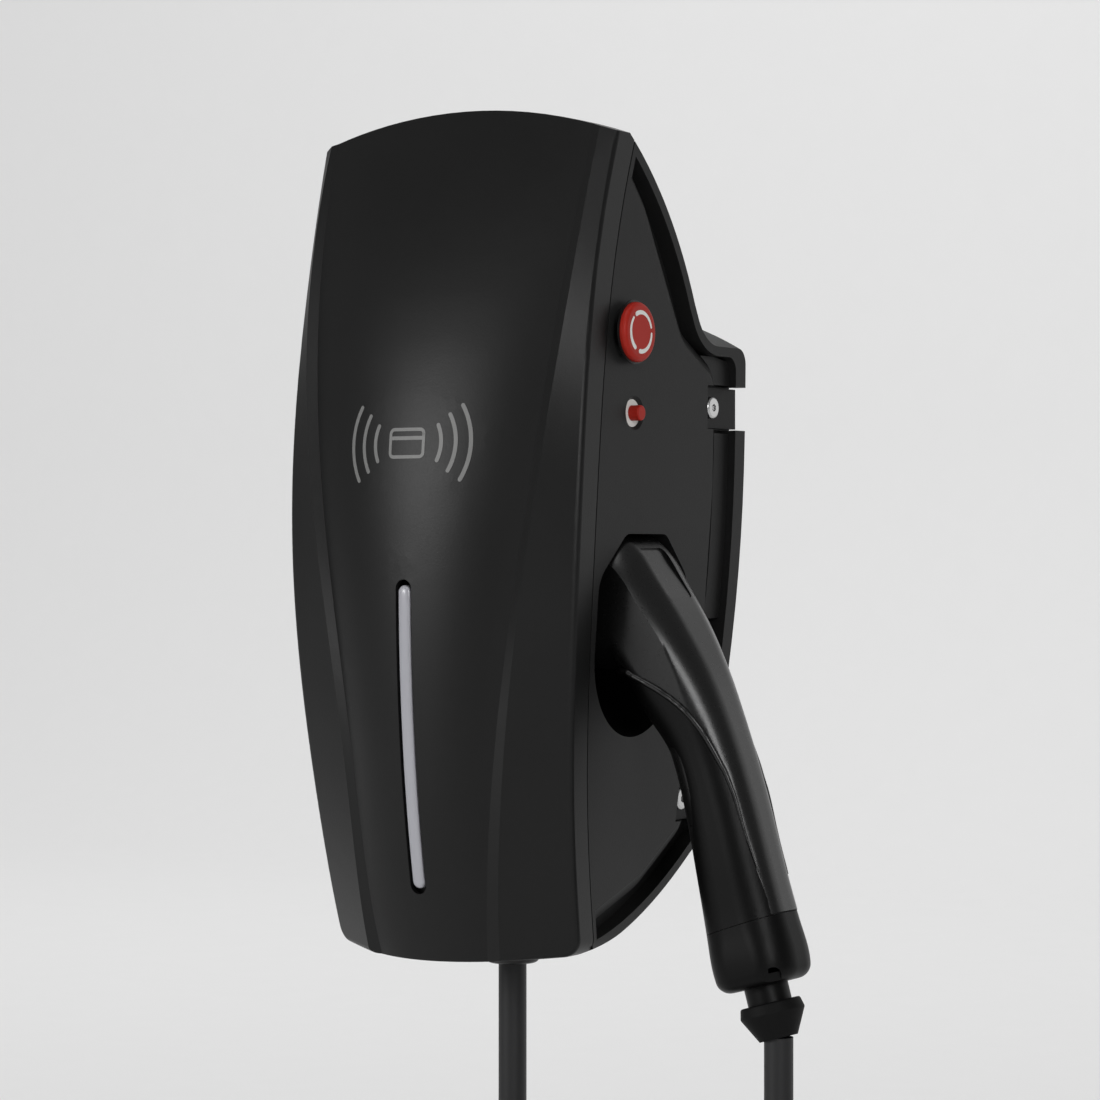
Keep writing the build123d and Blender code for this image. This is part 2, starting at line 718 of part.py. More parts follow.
with BuildPart() as gun_lead:
    with Locations((gun_cable_x, gun_y, coil_centre[2])):
        Cylinder(cable_d / 2, gun_lead_top - coil_centre[2], align=base_align)
    add(coil_form, mode=Mode.SUBTRACT)
gun_lead.part.label = "gun_lead"

# Charging gun


def gun_form(skin):
    """The gun's body as a loft of rounded sections, drawn in by skin."""
    with BuildPart() as form:
        for (outer_x, outer_z), (inner_x, inner_z), width, corner in gun_sections:
            outer, inner = Vector(outer_x, gun_y, outer_z), Vector(inner_x, gun_y, inner_z)
            along = (outer - inner).normalized()
            across = along.cross(Vector(0, 1, 0))
            with BuildSketch(Plane(origin=(outer + inner) / 2, x_dir=along, z_dir=across)):
                RectangleRounded((outer - inner).length - 2 * skin, width - 2 * skin, corner - skin)
        loft()
        extrude(form.faces().sort_by(Axis.X)[0], amount=gun_sections[0][0][0] - nose_back)
    return form.part


def gun_side(points, closing):
    """A block right across the gun, from a curve in its middle plane and the corners that close it."""
    with BuildPart() as block:
        with BuildSketch(Plane.XZ.offset(-gun_y)):
            with BuildLine():
                if len(points) > 2:
                    Spline(*points)
                else:
                    Line(*points)
                Polyline(points[-1], *closing, points[0])
            make_face()
        extrude(amount=40, both=True)
    return block.part


cap_start, cap_end = gun_cap_joint
shell_side = gun_side(gun_split, [(260, -200), (260, 60), (40, 60)])
cap_side = gun_side([(cap_start[0] - 30, cap_start[1] - 10), (cap_end[0] + 30, cap_end[1] + 10)],
                    [(cap_end[0] + 30, -300), (cap_start[0] - 30, -300)])
(end_outer_x, end_outer_z), (end_inner_x, end_inner_z) = gun_sections[-1][:2]
end_slope = (end_outer_z - end_inner_z) / (end_outer_x - end_inner_x)
end_side = gun_side([(end_inner_x - 20, end_inner_z - 20 * end_slope + gun_end_wall),
                     (end_outer_x + 20, end_outer_z + 20 * end_slope + gun_end_wall)],
                    [(end_outer_x + 20, -300), (end_inner_x - 20, -300)])
boot_direction = Vector(boot_axis[0], 0, boot_axis[1])
boot_plane = Plane(origin=(boot_top[0], gun_y, boot_top[1]), x_dir=(0, 1, 0), z_dir=boot_direction)
neck_length = math.dist(neck_start, boot_top)

with BuildPart() as gun_body:
    add(gun_form(0))
    end_edges = gun_body.faces().sort_by(Axis((0, 0, 0), (0.4, 0, -1)))[-1].edges()
    fillet(end_edges, gun_end_round)

with BuildPart() as gun_hollow:
    add(gun_form(gun_wall))
    with Locations((nose_back + gun_wall - 50, gun_y, 0)):
        Box(100, 100, 200, mode=Mode.SUBTRACT)
    add(end_side, mode=Mode.SUBTRACT)

with BuildPart() as gun_shell:
    add(gun_body.part)
    add(shell_side, mode=Mode.INTERSECT)
    add(cap_side, mode=Mode.SUBTRACT)
    add(gun_hollow.part, mode=Mode.SUBTRACT)
    along = Vector(math.sin(math.radians(label_angle)), 0, -math.cos(math.radians(label_angle)))
    field_centre = Vector(label_top[0], gun_y, label_top[1]) + along * (label_size[1] / 2)
    with BuildSketch(Plane(origin=field_centre, x_dir=(0, 1, 0), z_dir=Vector(0, 1, 0).cross(along))):
        RectangleRounded(label_size[0], label_size[1], 3)
    extrude(amount=-label_depth, mode=Mode.SUBTRACT)
gun_shell.part.label = "gun_shell"

with BuildPart() as gun_grip:
    add(gun_body.part)
    add([shell_side.moved(Location((-gun_joint_gap / 2, 0, -gun_joint_gap))), cap_side], mode=Mode.SUBTRACT)
    add(gun_hollow.part, mode=Mode.SUBTRACT)
gun_grip.part.label = "gun_grip"

with BuildPart() as gun_end_cap:
    add(gun_body.part)
    add(cap_side.moved(Location((gun_joint_gap / 2, 0, -gun_joint_gap))), mode=Mode.INTERSECT)
    add(gun_hollow.part, mode=Mode.SUBTRACT)
    with BuildSketch(boot_plane):
        Circle(neck_d / 2)
    extrude(amount=-neck_length - gun_end_wall)
    for side in (-1, 1):
        out = Vector(1, side, 0).normalized()
        place = Vector((end_outer_x + end_inner_x) / 2 + cap_groove_reach, gun_y + side * cap_groove_reach,
                        cap_groove_z)
        with BuildSketch(Plane(origin=place, x_dir=out.cross(boot_direction), z_dir=out)):
            SlotOverall(cap_groove[1], cap_groove[0], rotation=90)
        extrude(amount=20, mode=Mode.SUBTRACT)
gun_end_cap.part.label = "gun_end_cap"

with BuildPart() as gun_boot:
    with BuildSketch(Plane.YZ):
        with BuildLine():
            outline = [(radius, length) for length, radius in boot_profile]
            Polyline((0, 0), *outline, (0, outline[-1][1]), (0, 0))
        make_face()
    revolve(axis=Axis.Z)
    fillet(gun_boot.edges().filter_by(GeomType.CIRCLE).sort_by(Axis.Z)[:2], 1.2)
    gun_boot.part = boot_plane.location * gun_boot.part
    with Locations((gun_cable_x, gun_y, gun_lead_top)):
        Cylinder(cable_d / 2, 60, align=(Align.CENTER, Align.CENTER, Align.MAX), mode=Mode.SUBTRACT)
gun_boot.part.label = "gun_boot"

with BuildPart() as gun_nose:
    with BuildSketch(Plane.YZ.offset(nose_tip)) as nose_outline:
        with Locations((gun_y, nose_z)):
            Circle(nose_d / 2)
        with Locations((gun_y, nose_z + nose_flat + 50)):
            Rectangle(100, 100, mode=Mode.SUBTRACT)
    extrude(amount=nose_back - nose_tip)
    chamfer(gun_nose.faces().sort_by(Axis.X)[0].edges(), 1)
    with BuildSketch(Plane.YZ.offset(nose_tip)):
        with Locations(*contact_spots):
            Circle(contact_bore_d / 2)
    extrude(amount=nose_back - nose_tip - 3, mode=Mode.SUBTRACT)
gun_nose.part.label = "gun_nose"

with BuildPart() as gun_contacts:
    with BuildSketch(Plane.YZ.offset(nose_tip + 4)):
        with Locations(*contact_spots):
            Circle(contact_bore_d / 2 - seal_clearance)
            Circle(contact_bore_d / 2 - 1.2, mode=Mode.SUBTRACT)
    extrude(amount=nose_back - nose_tip - 4 - 3)
gun_contacts.part.label = "gun_contacts"

with BuildPart() as holster_socket:
    with BuildSketch(Plane.YZ.offset(recess_floor)):
        with Locations((gun_y, nose_z)):
            Circle(socket_d / 2)
    extrude(amount=socket_front - recess_floor)
    fillet(holster_socket.faces().sort_by(Axis.X)[-1].edges(), 1.5)
    with BuildSketch(Plane.YZ.offset(recess_floor + 3)):
        with Locations((gun_y, nose_z)):
            Circle(nose_d / 2 + nose_clearance)
    extrude(amount=60, mode=Mode.SUBTRACT)
    for y, z in socket_screw_spots:
        add(side_rod(y, z, socket_screw_d, recess_floor - 1, recess_floor + 9), mode=Mode.SUBTRACT)
holster_socket.part.label = "holster_socket"


# Fasteners


def pan_screw(shank_d, length, head_d, head_height, socket_d):
    """A pan head screw on the local Z axis, its head above Z = 0 and its shank below."""
    with BuildPart() as screw:
        Cylinder(shank_d / 2 - seal_clearance / 2, length, align=(Align.CENTER, Align.CENTER, Align.MAX))
        Cylinder(head_d / 2, head_height, align=base_align)
        fillet(screw.edges().sort_by(Axis.Z)[-1], head_height * 0.4)
        with BuildSketch(Plane.XY.offset(head_height)):
            RegularPolygon(socket_d / 2, 6)
        extrude(amount=-head_height * 0.6, mode=Mode.SUBTRACT)
    return screw.part


def screw_group(screw, places, direction):
    """Copies of one screw with their heads facing a direction."""
    with BuildPart() as group:
        for place in places:
            add(Plane(origin=place, z_dir=direction).location * screw)
    return group.part


with BuildPart() as ear_screws:
    screw = pan_screw(ear_screw_d, ear_screw_length + bracket_thickness, ear_screw_head_d, 3.2, 4)
    for side in (-1, 1):
        places = [(side * face, ear_screw_y, z) for z, face in zip(ear_heights, ear_faces)]
        add(screw_group(screw, places, (side, 0, 0)))
ear_screws.part.label = "ear_screws"

with BuildPart() as cover_screws:
    screw = pan_screw(cover_screw_d, cover_screw_length, cover_screw_head_d, 2.8, 3)
    places = [(x, parting_y(z) + cover_screw_seat, z) for x, z in cover_boss_spots]
    add(screw_group(screw, places, (0, 1, 0)))
cover_screws.part.label = "cover_screws"

with BuildPart() as socket_screws:
    screw = pan_screw(socket_screw_d, holster_wall + 8, 5, 2, 2)
    add(screw_group(screw, [(recess_floor - holster_wall, y, z) for y, z in socket_screw_spots], (-1, 0, 0)))
socket_screws.part.label = "socket_screws"

with BuildPart() as plate_screws:
    screw = pan_screw(board_screw_d, plate_thickness + 4.2, 5.6, 2, 2)
    add(screw_group(screw, [(x, plate_y - plate_thickness, z) for x, z in plate_post_spots], (0, -1, 0)))
plate_screws.part.label = "plate_screws"

with BuildPart() as board_screws:
    screw = pan_screw(board_screw_d, board_thickness + 6, 5, 1.8, 2)
    add(screw_group(screw, [(x, control_board_y, z) for x, z in control_post_spots], (0, 1, 0)))
    screw = pan_screw(board_screw_d, board_thickness + 2.6, 5, 1.8, 2)
    add(screw_group(screw, [(x, reader_board_y, z) for x, z in reader_post_spots], (0, 1, 0)))
board_screws.part.label = "board_screws"

# Wall bracket: two arms with ears turned forwards, joined by two straps

with BuildPart() as wall_bracket:
    with BuildSketch(Plane.XZ):
        for z, face in zip(ear_heights, ear_faces):
            with Locations((0, z)):
                Rectangle(2 * face, ear_width)
        with Locations(*[(side * bracket_strap_x, sum(ear_heights) / 2) for side in (-1, 1)]):
            Rectangle(bracket_strap_width, ear_heights[0] - ear_heights[1])
        with Locations(*wall_hole_spots):
            Circle(wall_hole_d / 2, mode=Mode.SUBTRACT)
    extrude(amount=bracket_thickness)
    for z, face in zip(ear_heights, ear_faces):
        for side in (-1, 1):
            with BuildSketch(Plane.YZ.offset(side * face)):
                with Locations((-ear_reach / 2, z)):
                    Rectangle(ear_reach, ear_width)
                with Locations((ear_screw_y, z)):
                    Circle(ear_screw_d / 2 + seat_clearance, mode=Mode.SUBTRACT)
            extrude(amount=-side * bracket_thickness)
wall_bracket.part.label = "wall_bracket"

# Emergency stop: collar let into the panel, nut behind it, sliding shaft with a flange under the
# turning head, and contact block

stop_flange_x = stop_x + side_lean + moving_clearance + stop_travel
stop_rim_x = stop_flange_x + stop_flange_height
stop_spigot_x = stop_rim_x + stop_spigot_length

with BuildPart() as stop_head:
    add(side_rod(stop_y, stop_z, stop_head_d, stop_rim_x, stop_rim_x + stop_head_height))
    fillet(stop_head.faces().sort_by(Axis.X)[-1].edges(), stop_head_round)
    add(side_rod(stop_y, stop_z, stop_spigot_d + 2 * shaft_clearance, stop_rim_x, stop_spigot_x),
        mode=Mode.SUBTRACT)
stop_head.part.label = "stop_head"

with BuildPart() as stop_shaft:
    add(side_rod(stop_y, stop_z, stop_shaft_d, stop_barrel_x - 2, stop_rim_x - shaft_clearance))
    add(side_rod(stop_y, stop_z, stop_flange_d, stop_flange_x, stop_rim_x - shaft_clearance))
    add(side_rod(stop_y, stop_z, stop_spigot_d, stop_barrel_x, stop_spigot_x - shaft_clearance))
stop_shaft.part.label = "stop_shaft"

with BuildPart() as stop_collar:
    add(side_rod(stop_y, stop_z, stop_hole_d - 2 * seal_clearance, stop_barrel_x, stop_x - side_lean))
    add(side_rod(stop_y, stop_z, stop_collar_d, stop_collar_x, stop_x - side_lean))
    add(side_rod(stop_y, stop_z, stop_shaft_d + 2 * shaft_clearance, 0, 200), mode=Mode.SUBTRACT)
stop_collar.part.label = "stop_collar"

with BuildPart() as stop_nut:
    with BuildSketch(Plane.YZ.offset(stop_x - wall - side_lean)):
        with Locations((stop_y, stop_z)):
            RegularPolygon(stop_nut_width / 2, 6, major_radius=False)
            Circle(stop_hole_d / 2, mode=Mode.SUBTRACT)
    extrude(amount=-stop_nut_height)
stop_nut.part.label = "stop_nut"

with BuildPart() as stop_contact_block:
    with Locations((stop_barrel_x, stop_y, stop_z)):
        Box(*stop_block, align=(Align.MAX, Align.CENTER, Align.CENTER))
    fillet(stop_contact_block.edges().filter_by(Axis.X), 2)
    well = stop_barrel_x - stop_travel - 2.5
    add(side_rod(stop_y, stop_z, stop_shaft_d + 2 * moving_clearance, well, 200), mode=Mode.SUBTRACT)
    with Locations((stop_barrel_x - stop_block[0], stop_y, stop_z)):
        with Locations(*[(0, y, z) for y in (-7, 7) for z in (-12, 12)]):
            Box(6, 6, 7, mode=Mode.SUBTRACT)
stop_contact_block.part.label = "stop_contact_block"

# Reset button: ring in the panel's hole, sprung button and the switch behind them

with BuildPart() as reset_ring:
    flange_x = reset_x - wall - side_lean
    add(side_rod(reset_y, reset_z, reset_hole_d - 2 * seal_clearance, reset_switch_x, reset_x - reset_sink))
    add(side_rod(reset_y, reset_z, reset_hole_d + 3, flange_x - 2, flange_x))
    add(side_rod(reset_y, reset_z, reset_button_d + 2 * shaft_clearance, 0, 200), mode=Mode.SUBTRACT)
reset_ring.part.label = "reset_ring"

with BuildPart() as reset_button:
    add(side_rod(reset_y, reset_z, reset_button_d, reset_switch_x - 1, reset_x + reset_proud))
    fillet(reset_button.faces().sort_by(Axis.X)[-1].edges(), 0.8)
reset_button.part.label = "reset_button"

with BuildPart() as reset_switch_body:
    with Locations((reset_switch_x, reset_y, reset_z)):
        Box(*reset_switch, align=(Align.MAX, Align.CENTER, Align.CENTER))
    well = reset_switch_x - reset_travel - 1.5
    add(side_rod(reset_y, reset_z, reset_button_d + 2 * moving_clearance, well, 200), mode=Mode.SUBTRACT)
reset_switch_body.part.label = "reset_switch"

# Chassis plate and what it carries

plate_front = plate_y - plate_thickness

with BuildPart() as chassis_plate:
    with BuildSketch(Plane.XZ.offset(-plate_y)):
        with Locations((0, (plate_top + plate_low) / 2)):
            RectangleRounded(2 * plate_half, plate_top - plate_low, 6)
        with Locations(*plate_post_spots):
            Circle(board_screw_d / 2 + seat_clearance, mode=Mode.SUBTRACT)
        with Locations(grommet_spot):
            Circle(grommet_d / 2 + 1, mode=Mode.SUBTRACT)
    extrude(amount=plate_thickness)
chassis_plate.part.label = "chassis_plate"


def on_plate(x, z, size):
    """A box that stands on the front of the chassis plate."""
    with BuildPart() as block:
        with Locations((x, plate_front, z)):
            Box(*size, align=(Align.CENTER, Align.MAX, Align.CENTER))
    return block


with BuildPart() as contactor:
    width, depth, height = contactor_size
    add(on_plate(*contactor_spot, (width, depth - 10, height)).part)
    add(on_plate(*contactor_spot, (width, depth, height - 24)).part)
    with Locations((contactor_spot[0], plate_front - depth + 10, contactor_spot[1])):
        with Locations(*[(x, 0, side * (height / 2 - 6)) for x in (-15, -5, 5, 15) for side in (-1, 1)]):
            Box(7.5, 9, 7, mode=Mode.SUBTRACT)
contactor.part.label = "contactor"

with BuildPart() as power_supply:
    add(on_plate(*supply_spot, supply_size).part)
    chamfer(power_supply.faces().sort_by(Axis.Y)[0].edges(), 2)
power_supply.part.label = "power_supply"

with BuildPart() as current_sensor:
    add(on_plate(*sensor_spot, (26, 10, 12)).part)
    with Locations(Location((sensor_spot[0], plate_front - sensor_d / 2 - 4, sensor_spot[1]))):
        Cylinder(sensor_d / 2, 12)
        Cylinder(sensor_bore / 2, 12, mode=Mode.SUBTRACT)
current_sensor.part.label = "current_sensor"

with BuildPart() as terminal_block:
    width, depth, height = terminal_size
    add(on_plate(*terminal_spot, terminal_size).part)
    pitch = width / terminal_poles
    for n in range(terminal_poles):
        x = terminal_spot[0] + pitch * (n - (terminal_poles - 1) / 2)
        with Locations((x, plate_front - depth, terminal_spot[1])):
            Box(pitch - 5, 6, 6, mode=Mode.SUBTRACT)
        with Locations((x, plate_front - depth / 2, terminal_spot[1] - height / 2)):
            Box(pitch - 3, 7, 8, mode=Mode.SUBTRACT)
terminal_block.part.label = "terminal_block"

with BuildPart() as earth_bar:
    add(on_plate(*earth_spot, earth_size).part)
    with BuildSketch(Plane.XZ.offset(-plate_front + earth_size[1])):
        with Locations(*[(earth_spot[0], earth_spot[1] + 10 * n) for n in (-2, -1, 0, 1, 2)]):
            Circle(2)
    extrude(amount=-5, mode=Mode.SUBTRACT)
earth_bar.part.label = "earth_bar"

with BuildPart() as supply_grommet:
    x, z = grommet_spot
    add(rods([grommet_spot], grommet_d + 5, -pan_depth + 1.6, 1.6 - seal_clearance))
    add(rods([grommet_spot], grommet_d - 2 * seal_clearance, -pan_depth + 1.6, wall + 1.6 + 2))
    add(rods([grommet_spot], grommet_d + 3, housing_back - seal_clearance, 2))
    add(rods([grommet_spot], grommet_d - 6, 10, 10 - housing_back + 1), mode=Mode.SUBTRACT)
supply_grommet.part.label = "supply_grommet"

# Boards in the front cover

with BuildPart() as control_board_panel:
    with BuildSketch(Plane.XZ.offset(-control_board_y)):
        with Locations((0, control_board_z)):
            RectangleRounded(*control_board, 3)
        with Locations(*control_post_spots):
            Circle(board_screw_d / 2 + seat_clearance, mode=Mode.SUBTRACT)
    extrude(amount=board_thickness)
control_board_panel.part.label = "control_board"

with BuildPart() as control_board_parts:
    for x, z, width, depth, height in board_part_boxes:
        with Locations((x, control_board_y, z)):
            Box(width, depth, height, align=(Align.CENTER, Align.MIN, Align.CENTER))
control_board_parts.part.label = "control_board_parts"

with BuildPart() as card_reader_board:
    with BuildSketch(Plane.XZ.offset(-reader_board_y)):
        with Locations((0, reader_z)):
            RectangleRounded(*reader_board, 2)
        with Locations(*reader_post_spots):
            Circle(board_screw_d / 2 + seat_clearance, mode=Mode.SUBTRACT)
    extrude(amount=board_thickness)
card_reader_board.part.label = "card_reader_board"

led_plane = Plane(origin=(0, sum(led_front_y) / 2, sum(led_post_z) / 2), x_dir=(1, 0, 0),
                  z_dir=(0, led_post_z[1] - led_post_z[0], led_front_y[0] - led_front_y[1]))
led_board_length = math.dist((led_front_y[0], led_post_z[0]), (led_front_y[1], led_post_z[1])) + 8

with BuildPart() as led_board:
    with BuildSketch(led_plane):
        Rectangle(14, led_board_length)
        with Locations(*[(0, side * (led_board_length / 2 - 4)) for side in (-1, 1)]):
            Circle(board_screw_d / 2 + seat_clearance, mode=Mode.SUBTRACT)
    extrude(amount=-board_thickness)
led_board.part.label = "led_board"

with BuildPart() as leds:
    with BuildSketch(led_plane):
        with GridLocations(1, led_board_length / 14, 1, 11):
            Rectangle(3.5, 2.8)
    extrude(amount=1.2)
leds.part.label = "leds"

pieces = [front_cover, cover_seal, light_pipe, rear_housing, gland_seal, cable_gland_body, cable_gland_nut,
          gland_locknut, cable_coil, coil_ties, box_lead, gun_lead, gun_shell, gun_grip, gun_end_cap,
          gun_boot, gun_nose, gun_contacts, holster_socket, ear_screws, cover_screws, socket_screws,
          plate_screws, board_screws, wall_bracket, stop_head, stop_shaft, stop_collar, stop_nut,
          stop_contact_block, reset_ring, reset_button, reset_switch_body, chassis_plate, contactor,
          power_supply, current_sensor, terminal_block, earth_bar, supply_grommet, control_board_panel,
          control_board_parts, card_reader_board, led_board, leds]
for piece in pieces:
    export_step(piece.part, f"parts/{piece.part.label}.step")
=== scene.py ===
import math

import bmesh
import bpy
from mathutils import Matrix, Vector
from mathutils.bvhtree import BVHTree


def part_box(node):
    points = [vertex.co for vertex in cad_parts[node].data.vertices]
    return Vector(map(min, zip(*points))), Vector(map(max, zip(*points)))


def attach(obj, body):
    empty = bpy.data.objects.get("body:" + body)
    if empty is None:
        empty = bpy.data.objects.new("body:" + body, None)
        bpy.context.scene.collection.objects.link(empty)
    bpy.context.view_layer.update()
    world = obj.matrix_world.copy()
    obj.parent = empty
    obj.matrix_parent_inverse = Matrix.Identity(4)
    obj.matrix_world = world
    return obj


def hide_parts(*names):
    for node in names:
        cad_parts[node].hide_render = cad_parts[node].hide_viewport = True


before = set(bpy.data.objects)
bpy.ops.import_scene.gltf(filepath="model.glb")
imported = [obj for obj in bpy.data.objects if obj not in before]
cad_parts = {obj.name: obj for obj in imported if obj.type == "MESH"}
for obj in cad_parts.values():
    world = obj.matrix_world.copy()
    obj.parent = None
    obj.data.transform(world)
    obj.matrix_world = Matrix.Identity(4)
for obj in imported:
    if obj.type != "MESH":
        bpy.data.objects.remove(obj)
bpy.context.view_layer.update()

MM = 0.001
scene = bpy.context.scene
scene.view_settings.view_transform = "Standard"


def add_object(name, data):
    """An object of this data, in the scene."""
    made = bpy.data.objects.new(name, data)
    scene.collection.objects.link(made)
    return made


# Camera, in front of the right-hand edge, level with the middle of the case

camera_azimuth = math.radians(33.0)
camera_place = Vector((0.9594, -1.5258, 0.0))
focal_px = 3500.0            # fitted to the case, the stop and the gun in the photograph
frame_px = 1100.0
sensor = 36.0

camera_data = bpy.data.cameras.new("camera")
camera_data.sensor_width = sensor
camera_data.lens = focal_px / frame_px * sensor
camera = add_object("camera", camera_data)
camera.location = camera_place
camera.rotation_euler = (math.radians(90), 0, camera_azimuth)
scene.camera = camera


# Finishes

def linear(colour):
    """An sRGB hex colour as linear values with full alpha."""
    parts = [int(colour[i:i + 2], 16) / 255 for i in (1, 3, 5)]
    return [c / 12.92 if c <= 0.04045 else ((c + 0.055) / 1.055) ** 2.4 for c in parts] + [1.0]


def add_node(tree, kind, inputs=None, **settings):
    """A node with its settings, and its inputs, by name or number, set or linked to outputs."""
    node = tree.nodes.new(kind)
    for name, value in settings.items():
        setattr(node, name, value)
    for key, value in (inputs or {}).items():
        if isinstance(value, bpy.types.NodeSocket):
            tree.links.new(value, node.inputs[key])
        else:
            node.inputs[key].default_value = value
    return node


def new_finish(name):
    """A new material, with its nodes, its shader and the place on the object."""
    material = bpy.data.materials.new(name)
    material.use_nodes = True
    tree = material.node_tree
    place = add_node(tree, "ShaderNodeTexCoord").outputs["Object"]
    return material, tree, tree.nodes["Principled BSDF"], place


def add_grain(tree, shader, height, roughness, spread, relief, depth):
    """A grain that is duller and shinier by a spread, and stands up by a depth in millimetres."""
    sheen = add_node(tree, "ShaderNodeMapRange", {
        "Value": height, "To Min": roughness - spread, "To Max": roughness + spread})
    bump = add_node(tree, "ShaderNodeBump", {
        "Height": height, "Strength": relief, "Distance": depth * MM})
    tree.links.new(sheen.outputs["Result"], shader.inputs["Roughness"])
    tree.links.new(bump.outputs["Normal"], shader.inputs["Normal"])


# A mould's grain is really 0.1 to 0.3 mm. It is drawn several times coarser, or it would not show.
grain_spread = 0.05          # how far a grain's roughness lies to each side of the plastic's own
grain_depth = 0.1            # millimetres
patch_size = 1 / 18          # metres, the size of the faint lighter and darker patches
patch_edges = (0.35, 0.65)   # where the patches' pattern turns from dark to light


def moulded_plastic(name, colour, roughness, grain, relief, uneven=0.08, shine=0.35):
    """Plastic or rubber from a mould, with a grain in millimetres and faintly uneven colour."""
    material, tree, shader, place = new_finish(name)
    fine = add_node(tree, "ShaderNodeTexNoise", {
        "Vector": place, "Scale": 1 / (grain * MM), "Detail": 2.0, "Roughness": 0.6})
    broad = add_node(tree, "ShaderNodeTexNoise", {
        "Vector": place, "Scale": 1 / patch_size, "Detail": 3.0, "Roughness": 0.5})
    patches = add_node(tree, "ShaderNodeValToRGB", {"Fac": broad.outputs["Fac"]})
    stops = patches.color_ramp.elements
    for stop, edge, change in zip(stops, patch_edges, (-uneven, uneven)):
        stop.position = edge
        stop.color = [min(c * (1 + change), 1) for c in linear(colour)[:3]] + [1.0]
    tree.links.new(patches.outputs["Color"], shader.inputs["Base Color"])
    add_grain(tree, shader, fine.outputs["Fac"], roughness, grain_spread, relief, grain_depth)
    shader.inputs["Specular IOR Level"].default_value = shine
    return material


def worked_metal(name, colour, roughness, grain):
    """Rolled, drawn or plated metal, with a fine grain in millimetres that breaks up what it mirrors."""
    material, tree, shader, place = new_finish(name)
    scratch = add_node(tree, "ShaderNodeTexNoise", {
        "Vector": place, "Scale": 1 / (grain * MM), "Detail": 4.0})
    add_grain(tree, shader, scratch.outputs["Fac"], roughness, spread=0.08, relief=0.15, depth=0.05)
    shader.inputs["Base Color"].default_value = linear(colour)
    shader.inputs["Metallic"].default_value = 1.0
    return material


# polycarbonate from a spark-eroded mould: its grain spreads each lamp into a broad, soft sheen
cover_finish = moulded_plastic(
    "textured_polycarbonate_cover", "#131313", 0.40, grain=0.9, relief=0.35, shine=0.22)

# the same plastic from a more matt mould, duller than the cover, with a grain to be seen; its lighter
# grey is partly painted light, standing for the light that falls on the case's sides
housing_finish = moulded_plastic(
    "textured_polycarbonate_housing", "#1c1c1c", 0.50, grain=0.9, relief=0.45, shine=0.2)

# moulded polyamide in the holster: satin, with hardly any grain
holster_finish = moulded_plastic(
    "moulded_polyamide_holster", "#1b1b1b", 0.45, grain=1.2, relief=0.2)

# polyamide from a polished mould: nearly black, with long clear highlights along the gun's edges
gun_finish = moulded_plastic(
    "polished_polyamide_gun", "#0b0b0b", 0.29, grain=1.6, relief=0.08, shine=0.5)

# soft elastomer moulded over the grip: it gives back little light, so it is blacker than the shell
grip_finish = moulded_plastic(
    "overmoulded_grip_elastomer", "#060606", 0.40, grain=1.2, relief=0.25, shine=0.13)

# extruded polyurethane round the cable: faintly wavy, with a satin line of light along each turn
sheath_finish = moulded_plastic(
    "extruded_polyurethane_sheath", "#1c1c1d", 0.48, grain=2.5, relief=0.25)

# moulded rubber: deep black and matt, with no clear highlight
rubber_finish = moulded_plastic("moulded_rubber", "#060606", 0.62, grain=0.8, relief=0.3, shine=0.15)

# moulded polyamide of the gland: dark grey and satin, so that its flats and ribs stay easy to read
gland_finish = moulded_plastic("moulded_polyamide_gland", "#1c1c1c", 0.42, grain=0.8, relief=0.2)

# frosted acrylic, unlit: milky grey all through, with a smooth skin that keeps a narrow highlight
diffuser_finish = moulded_plastic(
    "frosted_acrylic_diffuser", "#a0a0a6", 0.22, grain=0.6, relief=0.04, uneven=0.02, shine=0.6)

# coloured polyamide of the stop and the buttons: even, smooth and soft in its sheen
stop_red_finish = moulded_plastic(
    "moulded_red_polyamide", "#a3261c", 0.42, grain=1.0, relief=0.08, shine=0.15)
stop_black_finish = moulded_plastic("moulded_black_polyamide", "#131313", 0.40, grain=1.0, relief=0.1)
white_finish = moulded_plastic(
    "moulded_white_polyamide", "#e6e6e2", 0.40, grain=1.0, relief=0.05, uneven=0.02)

# ink pad-printed on the cover: flat mid grey, thinner and smoother than the grain round it
ink_finish = moulded_plastic("pad_printed_ink", "#6d6d6c", 0.45, grain=1.0, relief=0.05, uneven=0.02)

# woven polypropylene tape of the coil's ties: dull and rough, as its threads throw light all ways
strap_finish = moulded_plastic("woven_polypropylene_strap", "#161616", 0.85, grain=1.1, relief=0.9)

# moulded cases of the contactor, the supply and the sensor: plain mid grey, half matt
module_finish = moulded_plastic("moulded_grey_polycarbonate", "#4a4c4e", 0.50, grain=1.0, relief=0.2)

# moulded polyamide of the terminals: pale grey, half matt
terminal_finish = moulded_plastic("moulded_pale_polyamide", "#8e9090", 0.50, grain=1.0, relief=0.2)

# solder mask on glass-fibre board: a glossy lacquer, green on the control boards, black behind the bar
board_finish = moulded_plastic("green_solder_mask", "#123f25", 0.28, grain=3.0, relief=0.1)
light_board_finish = moulded_plastic("black_solder_mask", "#101010", 0.30, grain=3.0, relief=0.1)

# cast resin over the lamps: warm white and glossy, with no grain
led_finish = moulded_plastic(
    "cast_resin_led_lens", "#efeede", 0.20, grain=3.0, relief=0.0, uneven=0.02)

# powder coat baked on folded steel: black, with a tight orange peel that dulls it
bracket_finish = moulded_plastic(
    "black_powder_coated_steel", "#070707", 0.45, grain=0.7, relief=0.5, shine=0.15)

# zinc-plated screws: bright, with small hard glints on their heads
screw_finish = worked_metal("zinc_plated_steel_screw", "#c3c3c3", 0.28, grain=0.6)

# zinc-plated sheet: a cooler and duller grey that mirrors only broad light and shade
plate_finish = worked_metal("zinc_plated_steel_sheet", "#a9abae", 0.38, grain=1.5)

